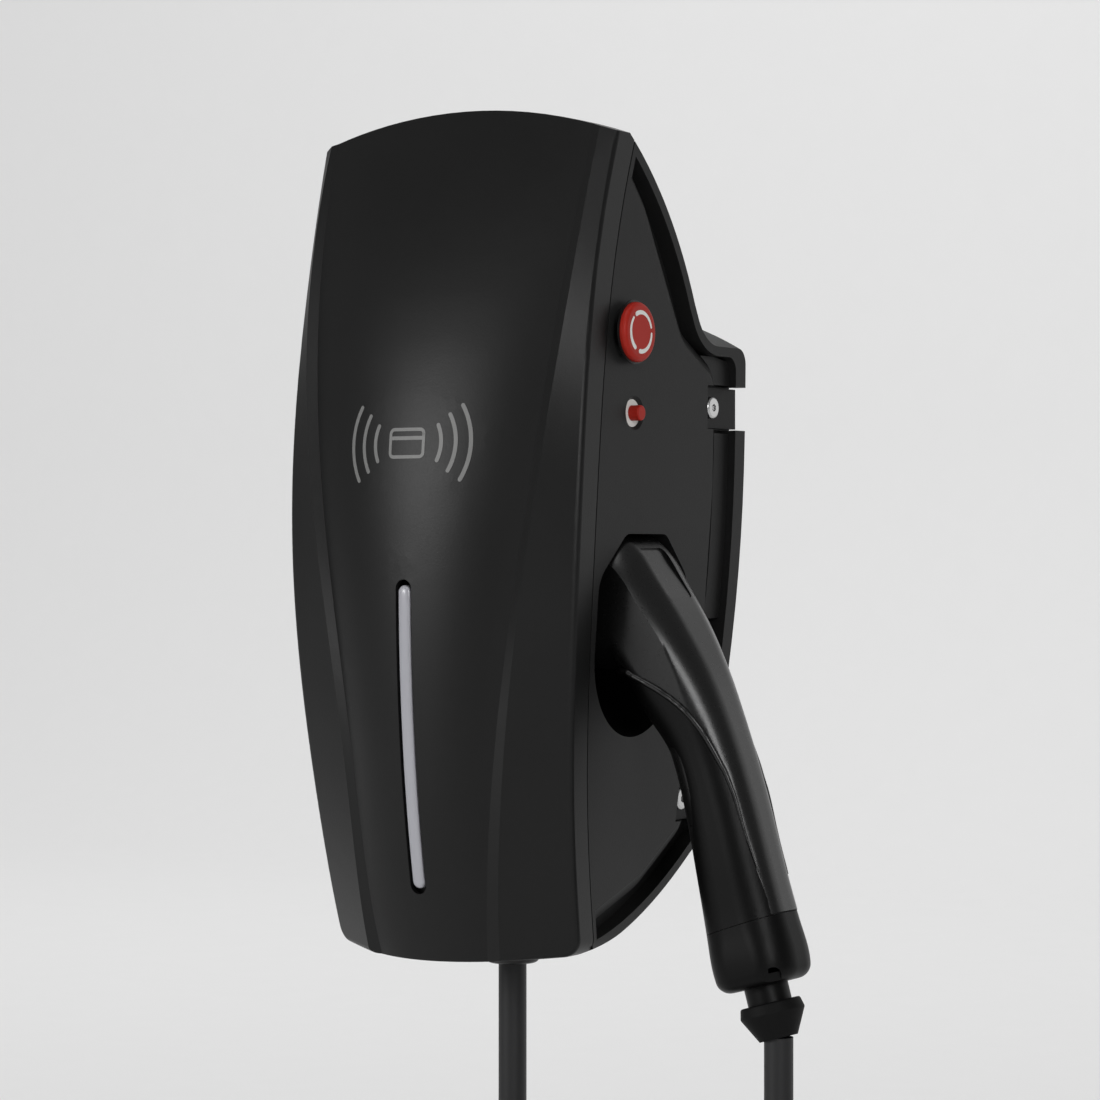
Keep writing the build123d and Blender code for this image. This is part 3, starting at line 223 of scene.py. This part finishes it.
# silver-plated contacts: warm and bright deep in the gun's nose
contact_finish = worked_metal("silver_plated_contact", "#cfccc4", 0.25, grain=0.6)

# drawn brass bar: yellow, with a satin sheen
brass_finish = worked_metal("drawn_brass_bar", "#b9924e", 0.30, grain=0.8)

node_finishes = {
    cover_finish: ["front_cover"],
    housing_finish: ["rear_housing"],
    holster_finish: ["holster_socket"],
    gun_finish: ["gun_nose"],
    grip_finish: ["gun_grip", "gun_end_cap"],
    rubber_finish: ["gun_boot", "cover_seal", "gland_seal", "supply_grommet"],
    gland_finish: ["cable_gland_body", "cable_gland_nut", "gland_locknut"],
    stop_red_finish: ["stop_head", "reset_button"],
    stop_black_finish: [
        "stop_shaft", "stop_collar", "stop_nut", "stop_contact_block", "reset_switch"],
    white_finish: ["reset_ring"],
    strap_finish: ["coil_ties"],
    module_finish: ["contactor", "power_supply", "current_sensor", "control_board_parts"],
    terminal_finish: ["terminal_block"],
    board_finish: ["control_board", "card_reader_board"],
    light_board_finish: ["led_board"],
    led_finish: ["leds"],
    bracket_finish: ["wall_bracket"],
    screw_finish: ["ear_screws", "cover_screws", "socket_screws", "plate_screws", "board_screws"],
    plate_finish: ["chassis_plate"],
    contact_finish: ["gun_contacts"],
    brass_finish: ["earth_bar"],
}
for finish, names in node_finishes.items():
    for name in names:
        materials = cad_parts[name].data.materials
        materials.clear()
        materials.append(finish)


# Round lines: the cable, and the beads on the gun

def round_line(name, route, radii, steps, roundness, finish):
    """A round tube on one smooth spline through the route, with a radius at each of its points."""
    curve = bpy.data.curves.new(name, "CURVE")
    curve.dimensions = "3D"
    line = curve.splines.new("NURBS")
    line.points.add(len(route) - 1)
    for point, place, radius in zip(line.points, route, radii):
        point.co = (*place, 1)
        point.radius = radius
    line.order_u = 3
    line.use_endpoint_u = True
    line.resolution_u = steps
    curve.bevel_depth = 1.0      # the points carry the radius, so that the curve's box is the tube's own
    curve.bevel_resolution = roundness
    curve.use_fill_caps = True
    curve.materials.append(finish)
    return add_object(name, curve)


# Charging cable: down from the gland, round the coil, and up into the gun's boot

cable_d = 14.0 * MM
gland_mouth = Vector((0.0, -82.5, -204.0)) * MM
boot_mouth = Vector((156.6, -93.0, -228.0)) * MM
straight_end = -285.0 * MM   # the leads hang straight down to here
lead_crossing = [(0.18, 30.0), (0.82, 70.0), (1.0, 100.0)]   # share of the way across, mm further down
cable_turns = 9.5
cable_layers = 4
layer_turns = cable_turns / cable_layers
turn_pitch = 14.3 * MM
coil_middle = Vector((78.3, -88.0, -425.0)) * MM
coil_radius = 78.3 * MM      # to the middle of the turns
coil_start = math.pi         # the angle at which the cable comes in
points_per_turn = 16
crossover = 0.18             # share of a turn in which the cable changes to the next layer


def coil_point(turn):
    """A point of the wound cable, which goes in and out through its layers."""
    layer = min(int(turn / layer_turns), cable_layers - 1)
    share = turn / layer_turns - layer
    outwards = share if layer % 2 else 1 - share
    radius = coil_radius + turn_pitch * layer_turns * (outwards - 0.5)
    radius /= math.cos(math.pi / points_per_turn)   # a spline runs inside its points
    layers_back = 0.0
    for change in range(1, cable_layers):
        step = (turn - change * layer_turns) / crossover + 0.5
        layers_back += min(max(step, 0.0), 1.0)
    depth = ((cable_layers - 1) / 2 - layers_back) * turn_pitch
    angle = coil_start + 2 * math.pi * turn
    return coil_middle + Vector((radius * math.cos(angle), depth, radius * math.sin(angle)))


def soft_lead(top, foot):
    """Points of a lead from its plumb top down to the coil, with one soft bend across."""
    across = Vector((foot.x - top.x, foot.y - top.y, 0))
    marks = [(0.0, top.z), (0.0, (top.z + straight_end) / 2), (0.0, straight_end)]
    marks += [(share, straight_end - drop * MM) for share, drop in lead_crossing]
    return [Vector((top.x, top.y, z)) + across * share for share, z in marks]


coil_steps = int(cable_turns * points_per_turn)
coil_route = [coil_point(step / points_per_turn) for step in range(coil_steps + 1)]
gland_lead = soft_lead(gland_mouth, coil_route[0])
gun_lead = soft_lead(boot_mouth, coil_route[-1])
route = gland_lead + coil_route + gun_lead[::-1]
cable = round_line("charging_cable", route, [cable_d / 2] * len(route), 4, 5, sheath_finish)
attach(cable, "case")
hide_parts("cable_coil", "box_lead", "gun_lead")


# Gun shell: a loft of sections across the gun, whose shoulders run from a chamfer at the head to a
# round lower down. Each section has its outer and inner point in the gun's middle plane, x and z, its
# half width, the half width of its flat outer face, how deep the shoulder runs, and how much of a
# chamfer it is. All are in millimetres.

gun_middle_y = -93.0 * MM
shell_back = 47.0
shell_sections = [
    ((shell_back, 6.4), (shell_back, -57.0), 28.5, 14.0, 12.0, 0.6),
    ((64.0, 6.6), (64.0, -57.0), 28.5, 14.0, 12.0, 0.6),
    ((78.0, 6.4), (78.0, -57.0), 28.5, 14.0, 12.0, 0.6),
    ((88.5, -1.2), (82.0, -61.0), 28.0, 13.5, 12.2, 0.58),
    ((97.5, -14.0), (85.5, -66.0), 27.0, 12.5, 11.6, 0.55),
    ((111.5, -35.0), (92.0, -79.0), 24.5, 10.5, 10.0, 0.45),
    ((125.0, -59.5), (100.5, -91.5), 22.0, 7.5, 12.5, 0.25),
    ((136.5, -87.0), (107.0, -105.5), 20.25, 4.75, 15.5, 0.0),
    ((146.5, -116.0), (111.5, -125.5), 19.75, 4.25, 15.5, 0.0),
    ((155.5, -147.0), (117.5, -157.0), 19.75, 3.75, 16.0, 0.0),
    ((162.1, -168.4), (122.6, -181.7), 19.9, 4.0, 16.0, 0.0),
]
shell_steps = 6              # rings from one section to the next
face_steps = 4               # points over half of the outer face
shoulder_steps = 10
flank_steps = 12
corner_steps = 8
inner_steps = 3
shell_inner_corner = 17.0
inner_corner_share = 0.6     # of the flank, which is the most that an inner corner takes up
inner_flat = 2.0             # the least half width of the flat inner face
shell_sharp = 32             # an edge of more degrees than this stays sharp

split_line = [(40, -57.6), (82, -56.8), (92.4, -59.7), (112.3, -70.6), (125.4, -83.8),
              (139.0, -108.6), (147.5, -134.3), (157.5, -162.0), (170.0, -200.0)]
under_grip = 0.9             # how far the shell draws in where the grip covers it
draw_in_above = 0.2          # how far over the split line it begins to draw in
draw_in_run = 1.4            # and how much further down it is fully in


def between(values, share):
    """A smooth value between the middle two of four, after the cardinal spline's formula."""
    a, b, c, d = values
    bend = 2 * a - 5 * b + 4 * c - d + share * (3 * (b - c) + d - a)
    return b + 0.5 * share * (c - a + share * bend)


def smooth_rows(rows, steps):
    """Rows of numbers with smooth rows put in between them."""
    ends = [rows[0], *rows, rows[-1]]
    smooth = []
    for i in range(len(rows) - 1):
        for k in range(steps):
            smooth.append([between(values, k / steps) for values in zip(*ends[i:i + 4])])
    return smooth + [list(rows[-1])]


def below_split(x, z):
    """How far a point of the middle plane lies under the line where the shell meets the grip."""
    nearest = math.inf
    for (start_x, start_z), (end_x, end_z) in zip(split_line, split_line[1:]):
        run, rise = end_x - start_x, end_z - start_z
        along = ((x - start_x) * run + (z - start_z) * rise) / (run ** 2 + rise ** 2)
        share = min(max(along, 0), 1)
        away = math.hypot(x - start_x - share * run, z - start_z - share * rise)
        if away < abs(nearest):
            nearest = math.copysign(away, rise * (x - start_x) - run * (z - start_z))
    return nearest


def half_profile(length, half, flat, shoulder, chamfer):
    """Points of half a section, as depth from the outer face and distance from the middle plane."""
    points = [(0.0, flat * k / face_steps) for k in range(face_steps)]
    for k in range(shoulder_steps + 1):
        share = k / shoulder_steps
        turn = math.pi / 2 * k / shoulder_steps
        depth = chamfer * share + (1 - chamfer) * (1 - math.cos(turn))
        reach = chamfer * share + (1 - chamfer) * math.sin(turn)
        points.append((shoulder * depth, flat + (half - flat) * reach))
    corner = min(shell_inner_corner, (length - shoulder) * inner_corner_share, half - inner_flat)
    flank_end = length - corner
    points += [(shoulder + (flank_end - shoulder) * k / flank_steps, half)
               for k in range(1, flank_steps)]
    for k in range(corner_steps + 1):
        turn = math.pi / 2 * k / corner_steps
        points.append((flank_end + corner * math.sin(turn), half - corner + corner * math.cos(turn)))
    return points + [(length, (half - corner) * (1 - k / inner_steps))
                     for k in range(1, inner_steps + 1)]


def shell_ring(outer_x, outer_z, inner_x, inner_z, half, flat, shoulder, chamfer):
    """The points round one section of the shell, drawn in where the grip covers them."""
    length = math.hypot(inner_x - outer_x, inner_z - outer_z)
    along = ((inner_x - outer_x) / length, (inner_z - outer_z) / length)
    profile = half_profile(length, half, flat, shoulder, chamfer)
    ring = []
    for side, points in ((-1, profile), (1, profile[-2:0:-1])):
        for depth, reach in points:
            x = outer_x + along[0] * depth
            z = outer_z + along[1] * depth
            covered = min(max((below_split(x, z) + draw_in_above) / draw_in_run, 0), 1)
            from_middle = math.hypot(depth - length / 2, reach)
            pull = covered * under_grip / max(from_middle, 1)
            x -= along[0] * (depth - length / 2) * pull
            z -= along[1] * (depth - length / 2) * pull
            ring.append(Vector((x * MM, gun_middle_y + side * reach * (1 - pull) * MM, z * MM)))
    return ring


def loft_mesh(name, rings):
    """A closed mesh through rings of points."""
    sheet = bmesh.new()
    verts = [[sheet.verts.new(place) for place in ring] for ring in rings]
    for first, second in zip(verts, verts[1:]):
        for k in range(len(first)):
            sheet.faces.new((first[k - 1], first[k], second[k], second[k - 1]))
    sheet.faces.new(verts[0])
    sheet.faces.new(verts[-1][::-1])
    bmesh.ops.recalc_face_normals(sheet, faces=sheet.faces)
    mesh = bpy.data.meshes.new(name)
    sheet.to_mesh(mesh)
    sheet.free()
    return mesh


def finish_mesh(mesh, sharp_angle, finish):
    """Shades a mesh smooth, but for its edges, and gives it its finish."""
    mesh.shade_smooth()
    mesh.set_sharp_from_angle(angle=math.radians(sharp_angle))
    mesh.materials.clear()
    mesh.materials.append(finish)


flat_sections = [(*outer, *inner, *rest) for outer, inner, *rest in shell_sections]
shell_rings = [shell_ring(*row) for row in smooth_rows(flat_sections, shell_steps)]
shell = add_object("gun_shell_skin", loft_mesh("gun_shell_skin", shell_rings))


# Sunk label field on the shell's outer face, left bare

field_top = Vector((86.0, 0, 0.8)) * MM
field_foot = Vector((103.6, 0, -22.6)) * MM
field_half_width = 10.7 * MM
field_corner = 2.5 * MM
field_depth = 0.55 * MM
field_clear = 6.0 * MM       # how far the cutter stands out of the shell
field_down = (field_foot - field_top).normalized()
field_out = Vector((-field_down.z, 0, field_down.x))
field_middle = (field_top + field_foot) / 2 + Vector((0, gun_middle_y, 0))
field_half_length = (field_foot - field_top).length / 2


def arc(centre, radius, start, end, steps=18):
    """Points of an arc between two angles in degrees."""
    angles = [math.radians(start + (end - start) * k / steps) for k in range(steps + 1)]
    return [(centre[0] + radius * math.cos(a), centre[1] + radius * math.sin(a)) for a in angles]


def rounded_rectangle(half_length, half_width, corner, steps=5):
    """Points round a rectangle with round corners."""
    points = []
    for quarter, (sx, sy) in enumerate(((1, 1), (-1, 1), (-1, -1), (1, -1))):
        centre = (sx * (half_length - corner), sy * (half_width - corner))
        points += arc(centre, corner, 90 * quarter, 90 * quarter + 90, steps)
    return points


def field_ring(height):
    """The outline of the label field at a height over the line between its ends."""
    outline = rounded_rectangle(field_half_length, field_half_width, field_corner)
    return [field_middle + field_down * down + Vector((0, across, 0)) + field_out * height
            for down, across in outline]


cutter_mesh = loft_mesh("field_cutter", [field_ring(-field_depth), field_ring(field_clear)])
cutter = add_object("field_cutter", cutter_mesh)
cut = shell.modifiers.new("label_field", "BOOLEAN")
cut.operation = "DIFFERENCE"
cut.solver = "EXACT"
cut.object = cutter
cut_shell = shell.evaluated_get(bpy.context.evaluated_depsgraph_get())
shell.data = bpy.data.meshes.new_from_object(cut_shell)
shell.modifiers.clear()
bpy.data.objects.remove(cutter)
finish_mesh(shell.data, shell_sharp, gun_finish)
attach(shell, "case")
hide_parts("gun_shell")


# Places on the surfaces, found by rays

depsgraph = bpy.context.evaluated_depsgraph_get()
ray_front = -0.4             # rays at the front start here, well clear of the case


def surface(*pieces):
    """Search trees of pieces' surfaces."""
    return [BVHTree.FromObject(piece, depsgraph) for piece in pieces]


def first_hit(trees, start, direction):
    """The nearest point and normal that a ray meets."""
    hits = [tree.ray_cast(start, direction) for tree in trees]
    hits = [hit for hit in hits if hit[0] is not None]
    return min(hits, key=lambda hit: hit[3])[:2] if hits else (None, None)


def seen_from_front(trees, x, z):
    """The point of a surface that lies foremost at this place."""
    return first_hit(trees, Vector((x, ray_front, z)), Vector((0, 1, 0)))[0]


# Printed and moulded marks

cap_steps = 6                # steps round a stroke's end
longest_step = 1.5 * MM      # a straight stroke has a point at least this often, to follow the cover


def stroke(sheet, drawn, width, place, end_width=None):
    """Adds a stroke with round ends along a drawn line; place puts a drawn point on the object."""
    left, right = [], []
    for i, point in enumerate(drawn):
        half = (width + ((end_width or width) - width) * i / (len(drawn) - 1)) / 2
        before, after = drawn[max(i - 1, 0)], drawn[min(i + 1, len(drawn) - 1)]
        along = (Vector(after) - Vector(before)).normalized()
        side = Vector((-along.y, along.x)) * half
        left.append(Vector(point) + side)
        right.append(Vector(point) - side)
    turns = [math.pi * k / cap_steps for k in range(1, cap_steps)]
    for centre, rim_start in ((Vector(drawn[-1]), left[-1]), (Vector(drawn[0]), right[0])):
        reach = rim_start - centre
        cap = [centre + Vector((reach.x * math.cos(a) + reach.y * math.sin(a),
                                -reach.x * math.sin(a) + reach.y * math.cos(a))) for a in turns]
        middle = sheet.verts.new(place(*centre))
        rim = [sheet.verts.new(place(*p)) for p in (rim_start, *cap, centre - reach)]
        for first, second in zip(rim, rim[1:]):
            sheet.faces.new((middle, second, first))
    lefts = [sheet.verts.new(place(*p)) for p in left]
    rights = [sheet.verts.new(place(*p)) for p in right]
    for i in range(len(drawn) - 1):
        sheet.faces.new((lefts[i], rights[i], rights[i + 1], lefts[i + 1]))


def finely(points):
    """The same line with a point at least every longest step."""
    line = []
    for start, end in zip(points, points[1:]):
        count = max(math.ceil(math.dist(start, end) / longest_step), 1)
        run, rise = end[0] - start[0], end[1] - start[1]
        line += [(start[0] + run * k / count, start[1] + rise * k / count) for k in range(count)]
    return line + [points[-1]]


def thin_piece(name, sheet, finish, thickness, body):
    """Makes a sheet of faces a piece of a little thickness that rides on a body."""
    mesh = bpy.data.meshes.new(name)
    bmesh.ops.remove_doubles(sheet, verts=sheet.verts, dist=0.01 * MM)
    bmesh.ops.recalc_face_normals(sheet, faces=sheet.faces)
    sheet.to_mesh(mesh)
    sheet.free()
    mesh.materials.append(finish)
    piece = add_object(name, mesh)
    layer = piece.modifiers.new("thickness", "SOLIDIFY")
    layer.thickness = thickness
    layer.offset = 0.0
    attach(piece, body)


# Card reader mark on the cover: a card between waves

mark_height = 50.6 * MM
ink_half = 0.08 * MM         # half the ink's thickness
waves = ((19.0, 26), (26.5, 30), (34.0, 31))   # radius in mm, and degrees to each side
wave_width = 2.0 * MM
card_half = Vector((9.5, 6.5)) * MM
card_corner = 2.0 * MM
card_line_width = 1.6 * MM
stripe_height = mark_height + 2.4 * MM
stripe_half_length = 8.6 * MM
stripe_width = 1.8 * MM

cover_surface = surface(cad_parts["front_cover"])


def on_cover(x, z):
    """The middle of the ink's thickness at a place on the cover."""
    return seen_from_front(cover_surface, x, z) + Vector((0, -ink_half, 0))


mark = bmesh.new()
for side in (0, 180):
    for radius, half_angle in waves:
        wave = arc((0, mark_height), radius * MM, side - half_angle, side + half_angle)
        stroke(mark, wave, wave_width, on_cover)
card_line = [(x, mark_height + z) for x, z in rounded_rectangle(*card_half, card_corner)]
stroke(mark, finely(card_line + card_line[:1]), card_line_width, on_cover)
stripe = [(-stripe_half_length, stripe_height), (stripe_half_length, stripe_height)]
stroke(mark, finely(stripe), stripe_width, on_cover)
thin_piece("reader_mark", mark, ink_finish, 2 * ink_half, "case")


# Turning arrows' three arcs on the emergency stop

arc_radius = 9.3 * MM
arc_ends = ((16, 117), (-3, -97), (136, 234))   # degrees, from each arc's thin end to its thick end
arc_thin = 1.3 * MM
arc_thick = 2.2 * MM
arc_stand = 0.02 * MM        # how far the middle of the arcs' thickness lies over the stop's face
arc_layer = 0.16 * MM

stop_low, stop_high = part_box("stop_head")
stop_middle = (stop_low + stop_high) / 2


def on_stop(y, z):
    """The middle of an arc's thickness at a place on the stop's flat face."""
    return Vector((stop_high.x + arc_stand, y, z))


arcs = bmesh.new()
for start, end in arc_ends:
    drawn_arc = arc((stop_middle.y, stop_middle.z), arc_radius, start, end)
    stroke(arcs, drawn_arc, arc_thin, on_stop, arc_thick)
thin_piece("stop_arcs", arcs, white_finish, arc_layer, "stop_knob")


# Light bar: a crowned rod that stands in the cover's slot with a dark gap round it

slot_top = -14.4 * MM
slot_foot = -163.3 * MM
bar_end_gap = 2.3 * MM
bar_width = 6.8 * MM
bar_crown = 1.7 * MM
bar_sink = 0.9 * MM          # how far the bar's edges lie below the slot's rim
bar_body = 2.5 * MM          # its depth behind those edges
bar_tip = 0.15               # width of the first and last ring, as a share of the bar's
bar_end_steps = 6
bar_steps = 60
crown_steps = 12
bar_sharp = 50               # an edge of more degrees than this stays sharp

pipe_surface = surface(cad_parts["light_pipe"])


def light_bar_mesh():
    """The rod as rings across it, with round ends."""
    half = bar_width / 2
    low = slot_foot + bar_end_gap
    high = slot_top - bar_end_gap
    rounding = [half * (1 - math.cos(math.pi / 2 * k / bar_end_steps)) for k in range(bar_end_steps)]
    straight = high - low - 2 * half
    heights = [low + rise for rise in rounding]
    heights += [low + half + straight * k / bar_steps for k in range(bar_steps + 1)]
    heights += [high - rise for rise in reversed(rounding)]
    rings = []
    for z in heights:
        edge_y = seen_from_front(pipe_surface, 0, z).y + bar_sink
        short = max(half - (z - low), half - (high - z), 0)
        width = max(math.sqrt(max(half * half - short * short, 0)), bar_tip * half)
        ring = []
        for k in range(crown_steps + 1):
            across = -math.cos(math.pi * k / crown_steps)
            crown = bar_crown * math.sqrt(max(1 - across * across, 0)) * width / half
            ring.append(Vector((width * across, edge_y - crown, z)))
        ring += [Vector((side * width, edge_y + bar_body, z)) for side in (1, -1)]
        rings.append(ring)
    return loft_mesh("light_bar", rings)


light_bar = add_object("light_bar", light_bar_mesh())
finish_mesh(light_bar.data, bar_sharp, diffuser_finish)
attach(light_bar, "case")
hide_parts("light_pipe")


# Raised bead where the grip's soft skin meets the shell, thinning out at its lower end

bead_radius = 1.5 * MM
bead_stand = 0.35 * MM       # how far its middle lies over the surface
bead_start_x = 79            # mm, where it comes out of the gun's head
bead_end_z = -153.0
bead_steps = 10              # points from one point of the split line to the next
bead_tip = 0.12              # its radius at the lower end, as a share of the whole radius
bead_taper = 2.2             # how fast it grows from there to its whole radius
beside_gun = 80.0 * MM       # rays at the gun's sides start this far out

gun_surface = surface(shell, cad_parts["gun_grip"])


def bead_route(side):
    """Points of the bead on one side of the gun, on its surface, and the bead's radius at each."""
    marks = [(x, z) for x, z in smooth_rows(split_line, bead_steps)
             if x > bead_start_x and z > bead_end_z]
    places, radii = [], []
    for k, (x, z) in enumerate(marks):
        start = Vector((x * MM, gun_middle_y + side * beside_gun, z * MM))
        point, normal = first_hit(gun_surface, start, Vector((0, -side, 0)))
        left = (len(marks) - 1 - k) / (len(marks) - 1)
        places.append(point + normal * bead_stand)
        radii.append(bead_radius * min(1, bead_tip + bead_taper * left))
    return places, radii


for side, word in ((-1, "front"), (1, "rear")):
    places, radii = bead_route(side)
    bead = round_line(f"grip_bead_{word}", places, radii, 12, 3, gun_finish)
    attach(bead, "case")


# Raised floor of the channels round the side panels, level with the foot of the panels' sloped bands

lining_heights = range(-190, 200, 2)   # mm, where the channel is looked for
beside_case = 200.0 * MM     # rays at the case's sides start this far out
ray_first = -0.5             # mm, the place of the ray nearest to the wall
ray_spacing = 0.4
ray_count = 370
lining_search = 7.0 * MM     # the channel's floor lies further in from the rim than this
least_rays = 6               # a floor is met by more rays than this
least_out = 70.0 * MM        # and lies further out than this
lining_lift = 4.3 * MM       # how far the raised floor lies over the channel's own
lining_grip = 0.6 * MM       # how far the raised floor runs into the channel's walls
lining_thickness = 1.2 * MM

housing_surface = surface(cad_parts["rear_housing"])


def channel_floor(side, z):
    """Points of the channel's floor at a height, as y and distance out, from the wall forward."""
    rim, floor = None, []
    for k in range(ray_count):
        y = (ray_first - ray_spacing * k) * MM
        start = Vector((side * beside_case, y, z))
        point = first_hit(housing_surface, start, Vector((-side, 0, 0)))[0]
        if point is None:
            continue
        rim = rim or abs(point.x)
        if abs(point.x) < rim - lining_search:
            floor.append((y, abs(point.x)))
        elif floor:
            break
    return floor if len(floor) > least_rays and floor[0][1] > least_out else []


for side, word in ((-1, "left"), (1, "right")):
    lining = bmesh.new()
    last = None
    for height in lining_heights:
        z = height * MM
        floor = channel_floor(side, z)
        ends = None
        if floor:
            (back_y, back_out), (front_y, front_out) = floor[0], floor[-1]
            x = side * (min(front_out, back_out) + lining_lift)
            ends = [lining.verts.new((x, y, z)) for y in (front_y - lining_grip, back_y + lining_grip)]
        if ends and last:
            lining.faces.new((last[0], last[1], ends[1], ends[0]))
        last = ends
    thin_piece(f"channel_floor_{word}", lining, housing_finish, lining_thickness, "case")


# Room: pale paper floor that curves up into a backdrop

floor_z = -0.56
floor_front = -4.5
room_half_width = 7.0
room_top = 3.5
bend = 0.8
bend_start = 3.4             # behind the object by more than the camera's distance in any view
bend_steps = 24
paper_glow = 0.7             # share of the paper's look that is its own even glow

# matt paper, lit evenly: plain pale grey with no sheen, which still takes the object's soft shadow
paper = moulded_plastic("pale_paper_backdrop", "#e4e4e4", 0.9, grain=4.0, relief=0.05, uneven=0.01)
tree = paper.node_tree
rays = add_node(tree, "ShaderNodeLightPath").outputs
seen = rays["Is Camera Ray"]
for kind in ("Is Glossy Ray", "Is Transmission Ray"):
    either = add_node(tree, "ShaderNodeMath", {0: seen, 1: rays[kind]}, operation="MAXIMUM")
    seen = either.outputs[0]
share = add_node(tree, "ShaderNodeMath", {0: seen, 1: paper_glow}, operation="MULTIPLY")
glow = add_node(tree, "ShaderNodeEmission", {"Color": linear("#e6e6e6"), "Strength": 1.0})
lit = add_node(tree, "ShaderNodeMixShader", {
    0: share.outputs[0],
    1: tree.nodes["Principled BSDF"].outputs["BSDF"],
    2: glow.outputs["Emission"],
})
tree.links.new(lit.outputs["Shader"], tree.nodes["Material Output"].inputs["Surface"])

bend_angles = [math.pi / 2 * k / bend_steps for k in range(bend_steps + 1)]
profile = [(floor_front, floor_z)]
profile += [(bend_start + bend * math.sin(a), floor_z + bend - bend * math.cos(a))
            for a in bend_angles]
profile += [(bend_start + bend, room_top)]
sheet = bmesh.new()
left, right = [[sheet.verts.new((x, y, z)) for y, z in profile]
               for x in (-room_half_width, room_half_width)]
for k in range(len(profile) - 1):
    sheet.faces.new((left[k], right[k], right[k + 1], left[k + 1]))
backdrop_mesh = bpy.data.meshes.new("backdrop")
sheet.to_mesh(backdrop_mesh)
sheet.free()
backdrop_mesh.shade_smooth()
backdrop_mesh.materials.append(paper)
backdrop = add_object("backdrop", backdrop_mesh)


# Soft light

def soft_lamp(name, place, target, size, power):
    """A lamp with a rectangular face, in metres and watts, turned towards a target."""
    lamp_data = bpy.data.lights.new(name, "AREA")
    lamp_data.shape = "RECTANGLE"
    lamp_data.size, lamp_data.size_y = size
    lamp_data.energy = power
    lamp = add_object(name, lamp_data)
    lamp.location = place
    lamp.rotation_euler = (Vector(target) - Vector(place)).to_track_quat("-Z", "Y").to_euler()


soft_lamp("front_panel", (-0.8, -1.9, 0.36), (0.0, -0.1, 0.0), (1.0, 0.5), 18)
soft_lamp("right_panel", (1.6, -1.4, 0.55), (0.05, -0.1, 0.0), (0.7, 0.8), 14)
soft_lamp("top_panel", (0.3, -0.7, 2.0), (0.0, -0.1, 0.1), (1.2, 0.8), 7)
soft_lamp("side_panel", (1.5, 2.0, 0.3), (0.08, -0.1, 0.0), (1.6, 1.2), 2)
soft_lamp("backdrop_panel", (-1.7, 2.0, 2.6), (-2.4, 3.9, -0.3), (3.0, 1.2), 70)

world = bpy.data.worlds.new("room_light")
scene.world = world
world.use_nodes = True
sky = world.node_tree.nodes["Background"]
sky.inputs["Color"].default_value = linear("#ffffff")
sky.inputs["Strength"].default_value = 0.22
